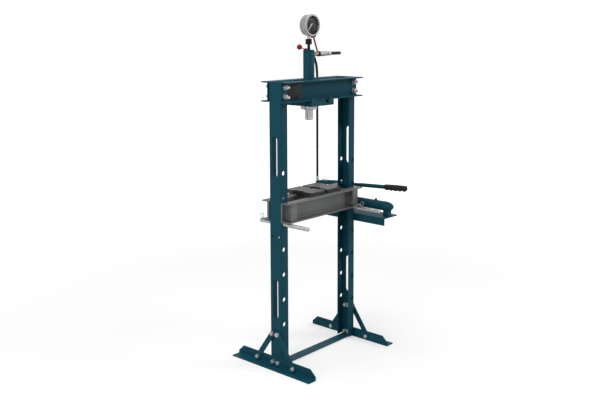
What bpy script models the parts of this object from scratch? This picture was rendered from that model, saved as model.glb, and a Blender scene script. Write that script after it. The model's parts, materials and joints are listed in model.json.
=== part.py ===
# Floor-standing hydraulic shop press with a separate hand pump.
# Metres, +Z up. X runs along the head, -Y is the front, and the feet stand on Z = 0.
import math

import bmesh
import bpy
import numpy as np
from mathutils import Euler, Vector

# Fits and finishes shared by the whole press
seat_gap = 0.0003
cut_overrun = 0.002
weld_sink = 0.0004
weld_distance = 0.00001
round_sides = 24
bolt_sides = 10
hole_sides = 16

# Uprights: bent channels whose webs face outward
frame_width = 0.580
upright_web = 0.080
upright_flange = 0.048
upright_wall = 0.006
upright_bend = 0.009
upright_bottom = 0.010
upright_length = 1.420

# Pin holes in the flanges, which set the height of the bed
pin_hole_radius = 0.0112
pin_hole_inset = 0.020
pin_hole_first = 0.2230
pin_level_height = 0.127
pin_hole_count = 7
pin_level_in_use = 4

# Lightening slots and the spare bracket holes in the webs
slot_width = 0.032
slot_length = 0.200
slot_lower_centre = 0.350
slot_upper_centre = 1.064
bracket_hole_drop = 0.026
bracket_hole_spread = 0.022

# Feet, struts and tie bar
foot_length = 0.525
foot_leg_height = 0.050
foot_leg_width = 0.052
foot_wall = 0.005
foot_root = 0.004
foot_chamfer_run = 0.034
foot_chamfer_drop = 0.031
anchor_hole_radius = 0.006
anchor_hole_spread = 0.210
anchor_hole_offset = 0.037
strut_width = 0.028
strut_thickness = 0.005
frame_bolt_spread = 0.017
strut_bolt_height = 0.171
foot_bolt_height = 0.022
foot_bolt_offset = 0.122
tie_width = 0.052
tie_thickness = 0.005
tie_underside = 0.005
tie_tab_height = 0.040
clamp_plate_width = 0.060
clamp_plate_height = 0.022
clamp_plate_thickness = 0.004

# Frame bolts, M12 with 19 mm hexagons
frame_bolt_radius = 0.006
frame_bolt_hexagon = 0.019
frame_bolt_head = 0.0075
frame_bolt_nut = 0.010
frame_washer_radius = 0.012
frame_washer_thickness = 0.0025
bolt_clearance = 0.0006
bolt_tail = 0.003

# Head channels and the tie rods that clamp them to the uprights
head_overhang = 0.002
head_height = 0.100
head_flange = 0.0485
head_wall = 0.006
head_bend = 0.008
head_rod_inset = 0.025
head_rod_edge = 0.026
head_rod_radius = 0.007
head_rod_hexagon = 0.022
head_rod_nut = 0.013
head_rod_tail = 0.013
head_washer_radius = 0.014
head_washer_thickness = 0.0025

# Carriage that hangs from the head's lower flanges and holds the cylinder
cylinder_offset = -0.037
carriage_length = 0.168
carriage_plate = 0.010
carriage_drop = 0.028
carriage_bar = 0.030
carriage_lip = 0.005
carriage_hook = 0.012
carriage_window = 0.030
carriage_window_slope = 0.022
carriage_window_offset = 0.029

# Cylinder, ring nut, ram and return spring
cylinder_radius = 0.0285
cylinder_bore = 0.0230
cylinder_thread = 0.0270
cylinder_collar = 0.0350
cylinder_collar_height = 0.010
cylinder_drop = 0.053
cylinder_length = 0.291
gland_height = 0.023
gland_clearance = 0.0003
ring_nut_radius = 0.042
ring_nut_height = 0.022
ring_nut_slots = 4
ring_nut_slot_width = 0.008
ring_nut_slot_depth = 0.004
cap_flange = 0.0097
cap_spigot = 0.0055
cap_bore = 0.0078
cap_post_offset = 0.023
cap_post_radius = 0.004
cap_post_head = 0.0062
cap_post_head_height = 0.0025
ram_radius = 0.0210
ram_drop = 0.052
ram_top_gap = 0.023
ram_bore = 0.0140
ram_floor = 0.020
ram_nose = 0.006
piston_radius = 0.0226
piston_height = 0.020
seal_height = 0.0070
seal_depth = 0.0023
seal_lip = 0.0002
spring_radius = 0.0100
spring_wire = 0.00175
spring_coils = 12
spring_points = 6

# Pressure gauge on top of the cylinder
gauge_lift = 0.068
gauge_case_radius = 0.052
gauge_bezel_radius = 0.0550
gauge_bezel_depth = 0.010
gauge_front = 0.029
gauge_back = 0.017
gauge_wall = 0.003
gauge_chamber = 0.0450
gauge_dial_radius = 0.0472
gauge_dial_place = 0.0147
gauge_dial_thickness = 0.001
gauge_glass_radius = 0.0487
gauge_glass_place = 0.0232
gauge_glass_thickness = 0.0022
gauge_lip = 0.0465
gauge_post_radius = 0.004
gauge_post_top = 0.012
needle_spindle = 0.0012
needle_spindle_depth = 0.008
needle_running_gap = 0.0003
needle_hub = 0.0045
needle_hub_height = 0.002
needle_length = 0.036
needle_tail = 0.014
needle_width = 0.0036
needle_thickness = 0.001
needle_rest_angle = 229
gauge_stem_radius = 0.0068
adapter_stem_radius = 0.0073
adapter_hexagon = 0.030
adapter_nut_lift = 0.027
adapter_nut_height = 0.027
adapter_socket_depth = 0.014
adapter_tail = 0.002

# Valve on the cylinder's side, its handle and its lever
valve_drop = 0.012
valve_body_radius = 0.0125
valve_body_length = 0.0347
valve_spigot = 0.0045
valve_spigot_clearance = 0.0004
valve_neck_radius = 0.0075
valve_neck_length = 0.015
valve_spindle_radius = 0.004
valve_spindle_length = 0.026
valve_running_gap = 0.0005
barrel_large_radius = 0.0140
barrel_small_radius = 0.0100
barrel_length = 0.0885
barrel_ribs = 5
barrel_groove = 0.0012
barrel_groove_width = 0.004
barrel_tang_radius = 0.004
barrel_tang_length = 0.022
valve_grip_radius = 0.0088
valve_grip_length = 0.081
valve_grip_round = 0.004
t_lever_ring = 0.0110
t_lever_wire = 0.0029
t_lever_arm = 0.0044
t_lever_length = 0.092
t_lever_tilt = 19
t_lever_bar = 0.032
t_lever_bar_radius = 0.0050
t_lever_bar_turn = 70
ball_lever_hub = 0.0080
ball_lever_hub_height = 0.0050
ball_lever_wire = 0.0021
ball_lever_length = 0.0465
ball_lever_rise = 0.0125
ball_radius = 0.0135

# Hose. Its knots lie at shares of the way in X, Y and Z from the boss on the valve to the pump
hose_radius = 0.0065
hose_boss_offset = Vector((0.049, 0.006, -0.031))
hose_shares = [
    (0.15976, 0.12565, 0.04951),
    (0.26627, 0.22542, 0.08883),
    (0.3787, 0.33555, 0.14126),
    (0.49112, 0.45565, 0.21407),
    (0.59763, 0.56948, 0.30872),
    (0.70414, 0.68367, 0.41794),
    (0.80769, 0.79416, 0.54172),
    (0.89941, 0.89246, 0.67278),
    (0.9645, 0.96194, 0.80384),
    (0.99408, 0.99372, 0.92034),
]
hose_steps = 3
hose_fitting_radius = 0.0080
hose_fitting_length = 0.016
hose_boss_radius = 0.0062
hose_boss_length = 0.020

# Pump shelf, an angle bolted to the right upright
shelf_front = -0.235
shelf_rear = 0.297
shelf_width = 0.120
shelf_height = 0.692
shelf_leg = 0.040
shelf_wall = 0.005
shelf_stud_radius = 0.005
shelf_stud_hexagon = 0.017
shelf_stud_nut = 0.008

# Hand pump
pump_offset = 0.0597
tank_radius = 0.025
tank_wall = 0.003
tank_axis_lift = 0.052
tank_front = -0.250
tank_nose = 0.022
tank_nose_length = 0.050
tank_foot_width = 0.030
tank_foot_front = -0.230
tank_foot_length = 0.035
tank_foot_sink = 0.006
filler_place = -0.1375
filler_stem_radius = 0.0036
filler_stem_length = 0.006
filler_radius = 0.0065
filler_height = 0.008
pump_head_front = 0.130
pump_head_rear = 0.292
pump_head_width = 0.056
pump_head_height = 0.098
pump_head_edge = 0.003
pump_spigot_length = 0.012
pump_spigot_gap = 0.0005
lever_pivot_place = 0.245
lever_pivot_lift = 0.032
lever_lug_width = 0.016
lever_lug_radius = 0.010
lever_pin_radius = 0.005
lever_pin_clearance = 0.0004
gland_nut_radius = 0.014
gland_nut_height = 0.010
plunger_arm = 0.032
plunger_radius = 0.007
plunger_clearance = 0.0004
plunger_depth = 0.055
plunger_bore_depth = 0.078
plunger_eye_height = 0.020
plunger_eye_front = 0.0105
plunger_eye_rear = 0.0195
plunger_slot_height = 0.0118
plunger_slot_travel = 0.0098
hose_port_radius = 0.010
hose_port_place = 0.2766
hose_port_length = 0.032
hose_crimp_length = 0.0283
hose_crimp_hexagon = 0.018
hose_crimp_collar = 0.010
knob_place = 0.160
knob_lift = 0.036
knob_radius = 0.012
knob_length = 0.014
knob_stem_radius = 0.004
knob_stem_length = 0.010

# Pump lever, from its yoke to its grip
lever_rise = 3.2
yoke_gap = 0.0085
yoke_cheek = 0.008
yoke_radius = 0.011
yoke_bridge_front = 0.080
yoke_bridge_length = 0.024
socket_radius = 0.0145
socket_length = 0.072
lever_rod_radius = 0.0095
lever_tube_radius = 0.0108
lever_step_place = 0.281
lever_end = 0.560
lever_seat = 0.010
grip_start = 0.443
grip_length = 0.138
grip_top = 0.0150
grip_bottom = 0.0160
grip_swell = 0.0015
grip_half_width = 0.0150
grip_scallops = 5
grip_scallop_depth = 0.004
grip_edge = 0.003

# Bed: two channels with stiffeners and guide plates
bed_overhang = 0.002
bed_height = 0.100
bed_flange = 0.0485
bed_wall = 0.006
bed_bend = 0.008
stiffener_outer = 0.262
stiffener_width = 0.041
stiffener_depth = 0.036
stiffener_wall = 0.004
stiffener_drain = 0.004
guide_thickness = 0.008
guide_clearance = 0.012
guide_height = 0.082

# Arbor plates that lie loose on the bed
plate_width = 0.110
plate_depth = 0.172
plate_thickness = 0.020
plate_gap = 0.019
plate_set_back = 0.026
plate_left_offset = 0.001
notch_mouth = 0.078
notch_floor = 0.050
notch_depth = 0.014
vee_mouth = 0.040
vee_depth = 0.018

# Bed pins and their ring clips
pin_radius = 0.010
pin_length = 0.319
pin_left_front = -0.201
pin_right_front = -0.222
pin_edge = 0.0015
clip_left_place = 0.108
clip_right_place = -0.104
clip_wire = 0.0018
clip_hole_gap = 0.0006
clip_loop = 0.0110
clip_loop_rise = 0.0245
clip_tail = 0.015
clip_loop_points = 14

# Places that follow from the sizes above
half_width = frame_width / 2
head_length = frame_width + 2 * head_overhang
bed_length = frame_width + 2 * bed_overhang
half_web = upright_web / 2
head_web_face = half_web + seat_gap
head_front_tip = head_web_face + head_flange
upright_top = upright_bottom + upright_length
head_bottom = upright_top - head_height
bed_bottom = pin_hole_first + pin_level_in_use * pin_level_height + pin_radius + seat_gap
bed_top = bed_bottom + bed_height
pin_height = pin_hole_first + pin_level_in_use * pin_level_height
pin_place = half_width - pin_hole_inset
leg_face = half_width + seat_gap
strut_face = leg_face + foot_wall + seat_gap
strut_outer = strut_face + strut_thickness
inner_web_face = half_width - upright_wall
cylinder_axis = Vector((cylinder_offset, 0.0, 0.0))
cylinder_bottom = head_bottom - cylinder_drop
cylinder_top = cylinder_bottom + cylinder_length
cap_top = cylinder_top + seat_gap + cap_flange
ram_bottom = cylinder_bottom - ram_drop
ram_top = cylinder_top - ram_top_gap
adapter_nut_bottom = cap_top + adapter_nut_lift
adapter_nut_top = adapter_nut_bottom + adapter_nut_height
gauge_height = adapter_nut_top + gauge_lift
valve_height = cylinder_top - valve_drop
bracket_hole_height = shelf_height - bracket_hole_drop
pump_place = leg_face + pump_offset
tank_axis_height = shelf_height + tank_axis_lift
knob_height = shelf_height + knob_lift
pump_head_top = shelf_height + pump_head_height
lever_pivot_height = pump_head_top + lever_pivot_lift
plunger_bottom = pump_head_top - plunger_depth
plunger_bore_bottom = pump_head_top - plunger_bore_depth
hose_crimp_bottom = pump_head_top + hose_port_length
hose_end = Vector((pump_place, hose_port_place, hose_crimp_bottom + hose_crimp_length))
hose_boss_face = Vector((cylinder_offset, 0.0, cylinder_top)) + hose_boss_offset
valve_start = cylinder_radius + seat_gap
valve_neck_start = valve_start + valve_body_length
handle_start = valve_neck_start + valve_neck_length + seat_gap

TURN = {
    "X": Euler((math.radians(90), 0, math.radians(90))),
    "Y": Euler((math.radians(90), 0, 0)),
    "Z": Euler((0, 0, 0)),
}
ALONG = {"X": Vector((1, 0, 0)), "Y": Vector((0, -1, 0)), "Z": Vector((0, 0, 1))}

for item in list(bpy.data.objects):
    bpy.data.objects.remove(item, do_unlink=True)

press = bpy.data.collections.new("hydraulic_shop_press")
cutters = bpy.data.collections.new("cutters")
bpy.context.scene.collection.children.link(press)
bpy.context.scene.collection.children.link(cutters)


def material(name, colour, roughness, metallic):
    """A plain Principled material."""
    made = bpy.data.materials.new(name)
    made.use_nodes = True
    shader = made.node_tree.nodes["Principled BSDF"]
    shader.inputs["Base Color"].default_value = (*colour, 1.0)
    shader.inputs["Roughness"].default_value = roughness
    shader.inputs["Metallic"].default_value = metallic
    return made


blue_paint = material("blue_paint", (0.025, 0.085, 0.125), 0.38, 0.0)
raw_steel = material("raw_steel", (0.12, 0.125, 0.12), 0.45, 0.6)
ground_steel = material("ground_steel", (0.16, 0.165, 0.165), 0.28, 0.8)
zinc = material("zinc", (0.62, 0.63, 0.64), 0.3, 1.0)
chrome = material("chrome", (0.75, 0.75, 0.75), 0.15, 1.0)
brass = material("brass", (0.42, 0.38, 0.22), 0.35, 1.0)
rubber = material("rubber", (0.012, 0.012, 0.012), 0.65, 0.0)
black_steel = material("black_steel", (0.02, 0.02, 0.02), 0.4, 0.3)
red_paint = material("red_paint", (0.42, 0.01, 0.008), 0.3, 0.0)
glass = material("glass", (0.9, 0.92, 0.92), 0.05, 0.0)
polymer = material("polymer", (0.7, 0.65, 0.5), 0.5, 0.0)


def place_in(group, name, data):
    """An object for this data, in this collection."""
    made = bpy.data.objects.new(name, data)
    group.objects.link(made)
    if group == cutters:
        made.hide_render = True
        made.display_type = "WIRE"
    return made


def mesh_from(group, name, builder):
    """A mesh object from a bmesh that starts out as a primitive."""
    shape = bmesh.new()
    builder(shape)
    data = bpy.data.meshes.new(name)
    shape.to_mesh(data)
    shape.free()
    return place_in(group, name, data)


def block(name, low, high, group=press):
    """A box from one corner to the opposite one."""
    low = Vector(low)
    high = Vector(high)
    made = mesh_from(group, name, lambda shape: bmesh.ops.create_cube(shape, size=1))
    for vertex in made.data.vertices:
        vertex.co = Vector(a * b for a, b in zip(vertex.co, high - low))
    made.location = (low + high) / 2
    return made


def rod(name, axis, centre, radius, length, group=press, sides=round_sides):
    """A cylinder, or with six sides a hexagon bar, centred on a point."""
    made = mesh_from(
        group,
        name,
        lambda shape: bmesh.ops.create_cone(
            shape, cap_ends=True, segments=sides, radius1=radius, radius2=radius, depth=length
        ),
    )
    made.rotation_euler = TURN[axis]
    made.location = centre
    return made


def hexagon(name, axis, centre, across, length, group=cutters):
    """A hexagon bar of this size across its flats."""
    return rod(name, axis, centre, across / math.sqrt(3), length, group, 6)


def as_mesh(source):
    """The curve's own surface as a mesh object with welded caps."""
    bpy.context.view_layer.update()
    seen = source.evaluated_get(bpy.context.evaluated_depsgraph_get())
    data = bpy.data.meshes.new_from_object(seen)
    shape = bmesh.new()
    shape.from_mesh(data)
    bmesh.ops.remove_doubles(shape, verts=shape.verts, dist=weld_distance)
    bmesh.ops.recalc_face_normals(shape, faces=shape.faces)
    shape.to_mesh(data)
    shape.free()
    name = source.name
    group = source.users_collection[0]
    matrix = source.matrix_world.copy()
    bpy.data.objects.remove(source, do_unlink=True)
    made = place_in(group, name, data)
    made.matrix_world = matrix
    return made


def extruded(name, outlines, axis, start, end, group=press, middle=(0, 0, 0)):
    """A flat outline, with any holes after it, drawn out along an axis between two places."""
    curve = bpy.data.curves.new(name, "CURVE")
    curve.dimensions = "2D"
    curve.fill_mode = "BOTH"
    curve.extrude = abs(end - start) / 2
    for outline in outlines:
        spline = curve.splines.new("POLY")
        spline.points.add(len(outline) - 1)
        spline.use_cyclic_u = True
        for point, (across, up) in zip(spline.points, outline):
            point.co = (across, up, 0, 1)
    made = place_in(group, name, curve)
    made.rotation_euler = TURN[axis]
    shift = Vector(abs(value) for value in ALONG[axis]) * (start + end) / 2
    made.location = Vector(middle) + shift
    return as_mesh(made)


def turned(name, axis, centre, profile, closed=False, group=press, steps=round_sides):
    """A profile of radii and heights turned about an axis, its outer side from top to bottom."""
    data = bpy.data.meshes.new(name)
    points = [(radius, 0, height) for radius, height in profile]
    edges = [(index, index + 1) for index in range(len(points) - 1)]
    if closed:
        edges.append((len(points) - 1, 0))
    data.from_pydata(points, edges, [])
    made = place_in(group, name, data)
    spin = made.modifiers.new("turn", "SCREW")
    spin.axis = "Z"
    spin.angle = math.tau
    spin.steps = steps
    spin.render_steps = steps
    spin.use_merge_vertices = True
    spin.merge_threshold = weld_distance
    spin.use_smooth_shade = False
    made.rotation_euler = TURN[axis]
    made.location = centre
    return made


def wire(name, points, radius, group=press, sides_level=2, cyclic=False):
    """A round bar along the points."""
    curve = bpy.data.curves.new(name, "CURVE")
    curve.dimensions = "3D"
    curve.bevel_depth = radius
    curve.bevel_resolution = sides_level
    curve.use_fill_caps = not cyclic
    spline = curve.splines.new("POLY")
    spline.points.add(len(points) - 1)
    spline.use_cyclic_u = cyclic
    for target, point in zip(spline.points, points):
        target.co = (*point, 1)
    return place_in(group, name, curve)


def boolean(piece, kind, others):
    """Each of the others is cut from the piece or joined to it."""
    for other in others:
        step = piece.modifiers.new(other.name, "BOOLEAN")
        step.operation = kind
        step.solver = "EXACT"
        step.object = other
        if other.name not in cutters.objects:
            other.users_collection[0].objects.unlink(other)
            cutters.objects.link(other)
        other.hide_render = True
        other.display_type = "WIRE"
    return piece


def cut(piece, *others):
    """The piece with the others taken out of it."""
    return boolean(piece, "DIFFERENCE", others)


def join(piece, *others):
    """The piece with the others made one with it."""
    return boolean(piece, "UNION", others)


def gathered(name, pieces):
    """One cutter made of several that don't touch each other."""
    bpy.context.view_layer.update()
    found = bpy.context.evaluated_depsgraph_get()
    shape = bmesh.new()
    for piece in pieces:
        seen = piece.evaluated_get(found)
        data = bpy.data.meshes.new_from_object(seen)
        data.transform(piece.matrix_world)
        shape.from_mesh(data)
        bpy.data.meshes.remove(data)
        bpy.data.objects.remove(piece, do_unlink=True)
    data = bpy.data.meshes.new(name)
    shape.to_mesh(data)
    shape.free()
    return place_in(cutters, name, data)


def soften(piece, width, segments=2):
    """The piece's sharp edges rounded by this width."""
    edge = piece.modifiers.new("edge", "BEVEL")
    edge.width = width
    edge.segments = segments
    edge.limit_method = "ANGLE"
    return piece


def finish(piece, look):
    """The piece with its material."""
    piece.data.materials.clear()
    piece.data.materials.append(look)
    return piece


def pivot(name, place, turn=(0, 0, 0)):
    """An empty on a joint's axis, to carry the pieces that move there."""
    made = bpy.data.objects.new(name, None)
    made.location = place
    made.rotation_euler = turn
    press.objects.link(made)
    return made


def arc(centre, radius, first, last, steps):
    """Points round an arc between two angles in degrees."""
    points = []
    for index in range(steps + 1):
        angle = math.radians(first + (last - first) * index / steps)
        points.append((centre[0] + radius * math.cos(angle), centre[1] + radius * math.sin(angle)))
    return points


def channel_outline(height, flange, wall, bend, steps=3):
    """A bent channel's section: its web at 0, its flanges towards +, its middle at height 0."""
    half = height / 2
    inner = bend - wall
    upper = arc((bend, half - bend), bend, 180, 90, steps)
    upper_inner = arc((wall + inner, half - wall - inner), inner, 90, 180, steps)
    top = upper + [(flange, half), (flange, half - wall)] + upper_inner
    bottom = [(across, -up) for across, up in reversed(top)]
    return top + bottom


def obround(centre, length, width, steps=6):
    """An upright slot with round ends."""
    radius = width / 2
    rise = length / 2 - radius
    upper = arc((centre[0], centre[1] + rise), radius, 0, 180, steps)
    lower = arc((centre[0], centre[1] - rise), radius, 180, 360, steps)
    return upper + lower


def bar_outline(start, end, width, steps=6):
    """A flat bar with round ends about two points."""
    start = Vector(start)
    end = Vector(end)
    run = end - start
    heading = math.degrees(math.atan2(run.y, run.x))
    far = arc(end, width / 2, heading - 90, heading + 90, steps)
    near = arc(start, width / 2, heading + 90, heading + 270, steps)
    return far + near


def circle_outline(centre, radius, steps=hole_sides):
    """A round hole or edge."""
    return arc(centre, radius, 0, 360, steps)[:-1]


# Uprights


def upright(name, side):
    """One upright: a channel with its pin holes, slots and bolt holes."""
    section = channel_outline(upright_web, upright_flange, upright_wall, upright_bend)
    placed = [(side * (half_width - across), up) for across, up in section]
    made = extruded(name, [placed], "Z", upright_bottom, upright_top)
    through = upright_web + 2 * cut_overrun
    web_depth = upright_wall + 2 * cut_overrun
    web_middle = side * (half_width - upright_wall / 2)
    holes = []
    for level in range(pin_hole_count):
        height = pin_hole_first + level * pin_level_height
        place = (side * pin_place, 0, height)
        holes.append(rod(f"{name}_pin_{level}", "Y", place, pin_hole_radius, through, cutters, hole_sides))
    for height in head_rod_heights():
        place = (side * (half_width - head_rod_inset), 0, height)
        radius = head_rod_radius + bolt_clearance
        holes.append(rod(f"{name}_head_{height:.3f}", "Y", place, radius, through, cutters, bolt_sides))
    for height in (strut_bolt_height, foot_bolt_height):
        for across in (-frame_bolt_spread, frame_bolt_spread):
            radius = frame_bolt_radius + bolt_clearance
            place = (web_middle, across, height)
            holes.append(rod(f"{name}_bolt_hole", "X", place, radius, web_depth, cutters, bolt_sides))
    for across in (-bracket_hole_spread, bracket_hole_spread):
        place = (web_middle, across, bracket_hole_height)
        radius = shelf_stud_radius + bolt_clearance
        holes.append(rod(f"{name}_bracket", "X", place, radius, web_depth, cutters, bolt_sides))
    low, high = web_middle - web_depth / 2, web_middle + web_depth / 2
    for height in (slot_lower_centre, slot_upper_centre):
        shape = obround((0, height), slot_length, slot_width)
        holes.append(extruded(f"{name}_slot", [shape], "X", low, high, cutters))
    cut(made, gathered(f"{name}_holes", holes))
    return finish(made, blue_paint)


def head_rod_heights():
    """The two heights of the rods through the head."""
    return (head_bottom + head_rod_edge, upright_top - head_rod_edge)


upright("upright_left", -1)
upright("upright_right", 1)


# Feet


def foot(name, side):
    """An angle with chamfered ends, its upright leg against the web and its flat leg outward."""
    corner = arc((foot_wall + foot_root, foot_wall + foot_root), foot_root, 270, 180, 3)
    section = [(0, 0), (foot_leg_width, 0), (foot_leg_width, foot_wall)]
    section += corner + [(foot_wall, foot_leg_height), (0, foot_leg_height)]
    placed = [(side * (leg_face + across), up) for across, up in section]
    half = foot_length / 2
    made = extruded(name, [placed], "Y", -half, half)
    slope = foot_chamfer_drop / foot_chamfer_run
    low, high = sorted((side * (leg_face - cut_overrun), side * (leg_face + foot_wall + cut_overrun)))
    for end in (-1, 1):
        wedge = [
            (end * (half - foot_chamfer_run - cut_overrun / slope), foot_leg_height + cut_overrun),
            (end * (half + cut_overrun), foot_leg_height + cut_overrun),
            (end * (half + cut_overrun), foot_leg_height - foot_chamfer_drop - cut_overrun * slope),
        ]
        cut(made, extruded(f"{name}_chamfer_{end}", [wedge], "X", low, high, cutters))
    holes = []
    depth = foot_wall + 2 * cut_overrun
    for end in (-1, 1):
        place = (side * (half_width + anchor_hole_offset), end * anchor_hole_spread, foot_wall / 2)
        holes.append(rod(f"{name}_anchor", "Z", place, anchor_hole_radius, depth, cutters, hole_sides))
    for across in (-foot_bolt_offset, -frame_bolt_spread, frame_bolt_spread, foot_bolt_offset):
        place = (side * (leg_face + foot_wall / 2), across, foot_bolt_height)
        radius = frame_bolt_radius + bolt_clearance
        holes.append(rod(f"{name}_bolt", "X", place, radius, depth, cutters, bolt_sides))
    cut(made, gathered(f"{name}_holes", holes))
    return finish(made, blue_paint)


foot("foot_left", -1)
foot("foot_right", 1)


# Struts, two on each side, from the web down to the foot


def strut(name, side, end):
    """A flat bar with a bolt hole at each end."""
    top = (end * frame_bolt_spread, strut_bolt_height)
    bottom = (end * foot_bolt_offset, foot_bolt_height)
    radius = frame_bolt_radius + bolt_clearance
    holes = [circle_outline(top, radius, bolt_sides), circle_outline(bottom, radius, bolt_sides)]
    shape = [bar_outline(top, bottom, strut_width)] + holes
    low, high = sorted((side * strut_face, side * strut_outer))
    return finish(extruded(name, shape, "X", low, high), blue_paint)


strut("strut_left_front", -1, -1)
strut("strut_left_rear", -1, 1)
strut("strut_right_front", 1, -1)
strut("strut_right_rear", 1, 1)


# Tie bar between the uprights, with a tab bent up inside each web


def tie_bar():
    """A flat bar whose ends are bent up and bolted inside the webs."""
    outer = inner_web_face - seat_gap
    tab_top = tie_underside + tie_tab_height
    inner_top = tie_underside + tie_thickness
    half = [(outer - tie_thickness, tab_top), (outer, tab_top), (outer, tie_underside)]
    mirrored = [(-across, up) for across, up in reversed(half)]
    shape = [(-outer + tie_thickness, inner_top), (outer - tie_thickness, inner_top)] + half + mirrored
    made = extruded("tie_bar", [shape], "Y", -tie_width / 2, tie_width / 2)
    holes = []
    for side in (-1, 1):
        for across in (-frame_bolt_spread, frame_bolt_spread):
            place = (side * (outer - tie_thickness / 2), across, foot_bolt_height)
            radius = frame_bolt_radius + bolt_clearance
            depth = tie_thickness + 2 * cut_overrun
            holes.append(rod("tie_bolt_hole", "X", place, radius, depth, cutters, bolt_sides))
    cut(made, gathered("tie_bar_holes", holes))
    return finish(made, blue_paint)


tie_bar()


# Bolts of the frame


def bolt_stack(name, axis, place, direction, pieces):
    """Round and six-sided lengths end to end along an axis, as cutters to be joined."""
    made = []
    step = Vector({"X": (1, 0, 0), "Y": (0, 1, 0), "Z": (0, 0, 1)}[axis])
    for index, (kind, size, start, end) in enumerate(pieces):
        middle = Vector(place) + step * (direction * (start + end) / 2)
        length = abs(end - start)
        if kind == "hexagon":
            made.append(hexagon(f"{name}_{index}", axis, middle, size, length))
        else:
            made.append(rod(f"{name}_{index}", axis, middle, size, length, cutters, bolt_sides))
    return made


def side_bolt_pieces(outer_face, inner_face, spacer_start=None, spacer_end=None):
    """A frame bolt across the web: shank, washer, head outside, nut inside, and any spacer."""
    head = outer_face + seat_gap
    nut = inner_face - seat_gap
    tail = nut - frame_bolt_nut - bolt_tail
    washer_end = head + frame_washer_thickness
    pieces = [
        ("round", frame_bolt_radius, tail, washer_end + frame_bolt_head / 2),
        ("round", frame_washer_radius, head, washer_end),
        ("hexagon", frame_bolt_hexagon, washer_end - weld_sink, washer_end + frame_bolt_head),
        ("hexagon", frame_bolt_hexagon, nut - frame_bolt_nut, nut),
    ]
    if spacer_start is not None:
        pieces.append(("round", frame_washer_radius, spacer_start, spacer_end))
    return pieces


def single_bolt(name, side, across, height, outer_face, inner_face):
    """One bolt across the foot, alone."""
    place = (0, across, height)
    pieces = bolt_stack(name, "X", place, side, side_bolt_pieces(outer_face, inner_face))
    made = pieces[0]
    cutters.objects.unlink(made)
    press.objects.link(made)
    made.name = name
    made.hide_render = False
    made.display_type = "TEXTURED"
    join(made, *pieces[1:])
    return finish(made, zinc)


def bolt_pair(name, side, height, outer_face, inner_face, spacer_start=None, spacer_end=None):
    """Two bolts whose nuts share one clamp plate inside the web."""
    plate_face = inner_face - seat_gap
    plate_inner = plate_face - clamp_plate_thickness
    low = (side * plate_face, -clamp_plate_width / 2, height - clamp_plate_height / 2)
    high = (side * plate_inner, clamp_plate_width / 2, height + clamp_plate_height / 2)
    made = block(name, [min(a, b) for a, b in zip(low, high)], [max(a, b) for a, b in zip(low, high)])
    nut_face = plate_inner + seat_gap + weld_sink
    for across in (-frame_bolt_spread, frame_bolt_spread):
        pieces = side_bolt_pieces(outer_face, nut_face, spacer_start, spacer_end)
        join(made, *bolt_stack(f"{name}_{across:+.3f}", "X", (0, across, height), side, pieces))
    return finish(made, zinc)


def frame_bolts(label, side):
    """The strut, foot and tie-bar bolts of one side."""
    spacer_end = strut_face - seat_gap
    bolt_pair(
        f"strut_bolts_{label}", side, strut_bolt_height, strut_outer, inner_web_face, leg_face, spacer_end
    )
    tab_inner = inner_web_face - seat_gap - tie_thickness
    bolt_pair(f"tie_bolts_{label}", side, foot_bolt_height, leg_face + foot_wall, tab_inner)
    for end, across in (("front", -foot_bolt_offset), ("rear", foot_bolt_offset)):
        single_bolt(f"foot_bolt_{label}_{end}", side, across, foot_bolt_height, strut_outer, leg_face)


frame_bolts("left", -1)
frame_bolts("right", 1)


# Head: two channels back to back outside the uprights


def head_channel(name, facing):
    """One head channel, its web against the uprights and its flanges outward."""
    section = channel_outline(head_height, head_flange, head_wall, head_bend)
    middle = (head_bottom + upright_top) / 2
    placed = [(facing * (head_web_face + across), middle + up) for across, up in section]
    made = extruded(name, [placed], "X", -head_length / 2, head_length / 2)
    holes = []
    for side in (-1, 1):
        for height in head_rod_heights():
            across = facing * (head_web_face + head_wall / 2)
            place = (side * (half_width - head_rod_inset), across, height)
            radius = head_rod_radius + bolt_clearance
            depth = head_wall + 2 * cut_overrun
            holes.append(rod(f"{name}_hole", "Y", place, radius, depth, cutters, bolt_sides))
    cut(made, gathered(f"{name}_holes", holes))
    return finish(made, blue_paint)


head_channel("head_channel_front", -1)
head_channel("head_channel_rear", 1)


def head_rod(name, side, height):
    """A threaded rod through both channels and the upright, with a nut at each end."""
    face = head_web_face + head_wall + seat_gap
    nut_start = face + head_washer_thickness
    nut_end = nut_start + head_rod_nut
    place = (side * (half_width - head_rod_inset), 0, height)
    made = rod(name, "Y", place, head_rod_radius, 2 * (nut_end + head_rod_tail), press, bolt_sides)
    for facing in (-1, 1):
        pieces = [
            ("round", head_washer_radius, face, nut_start),
            ("hexagon", head_rod_hexagon, nut_start - weld_sink, nut_end),
        ]
        join(made, *bolt_stack(f"{name}_{facing}", "Y", place, facing, pieces))
    return finish(made, zinc)


for side_name, side_sign in (("left", -1), ("right", 1)):
    for level_name, rod_height in zip(("lower", "upper"), head_rod_heights()):
        head_rod(f"head_rod_{side_name}_{level_name}", side_sign, rod_height)


# Carriage that holds the cylinder under the head


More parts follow.
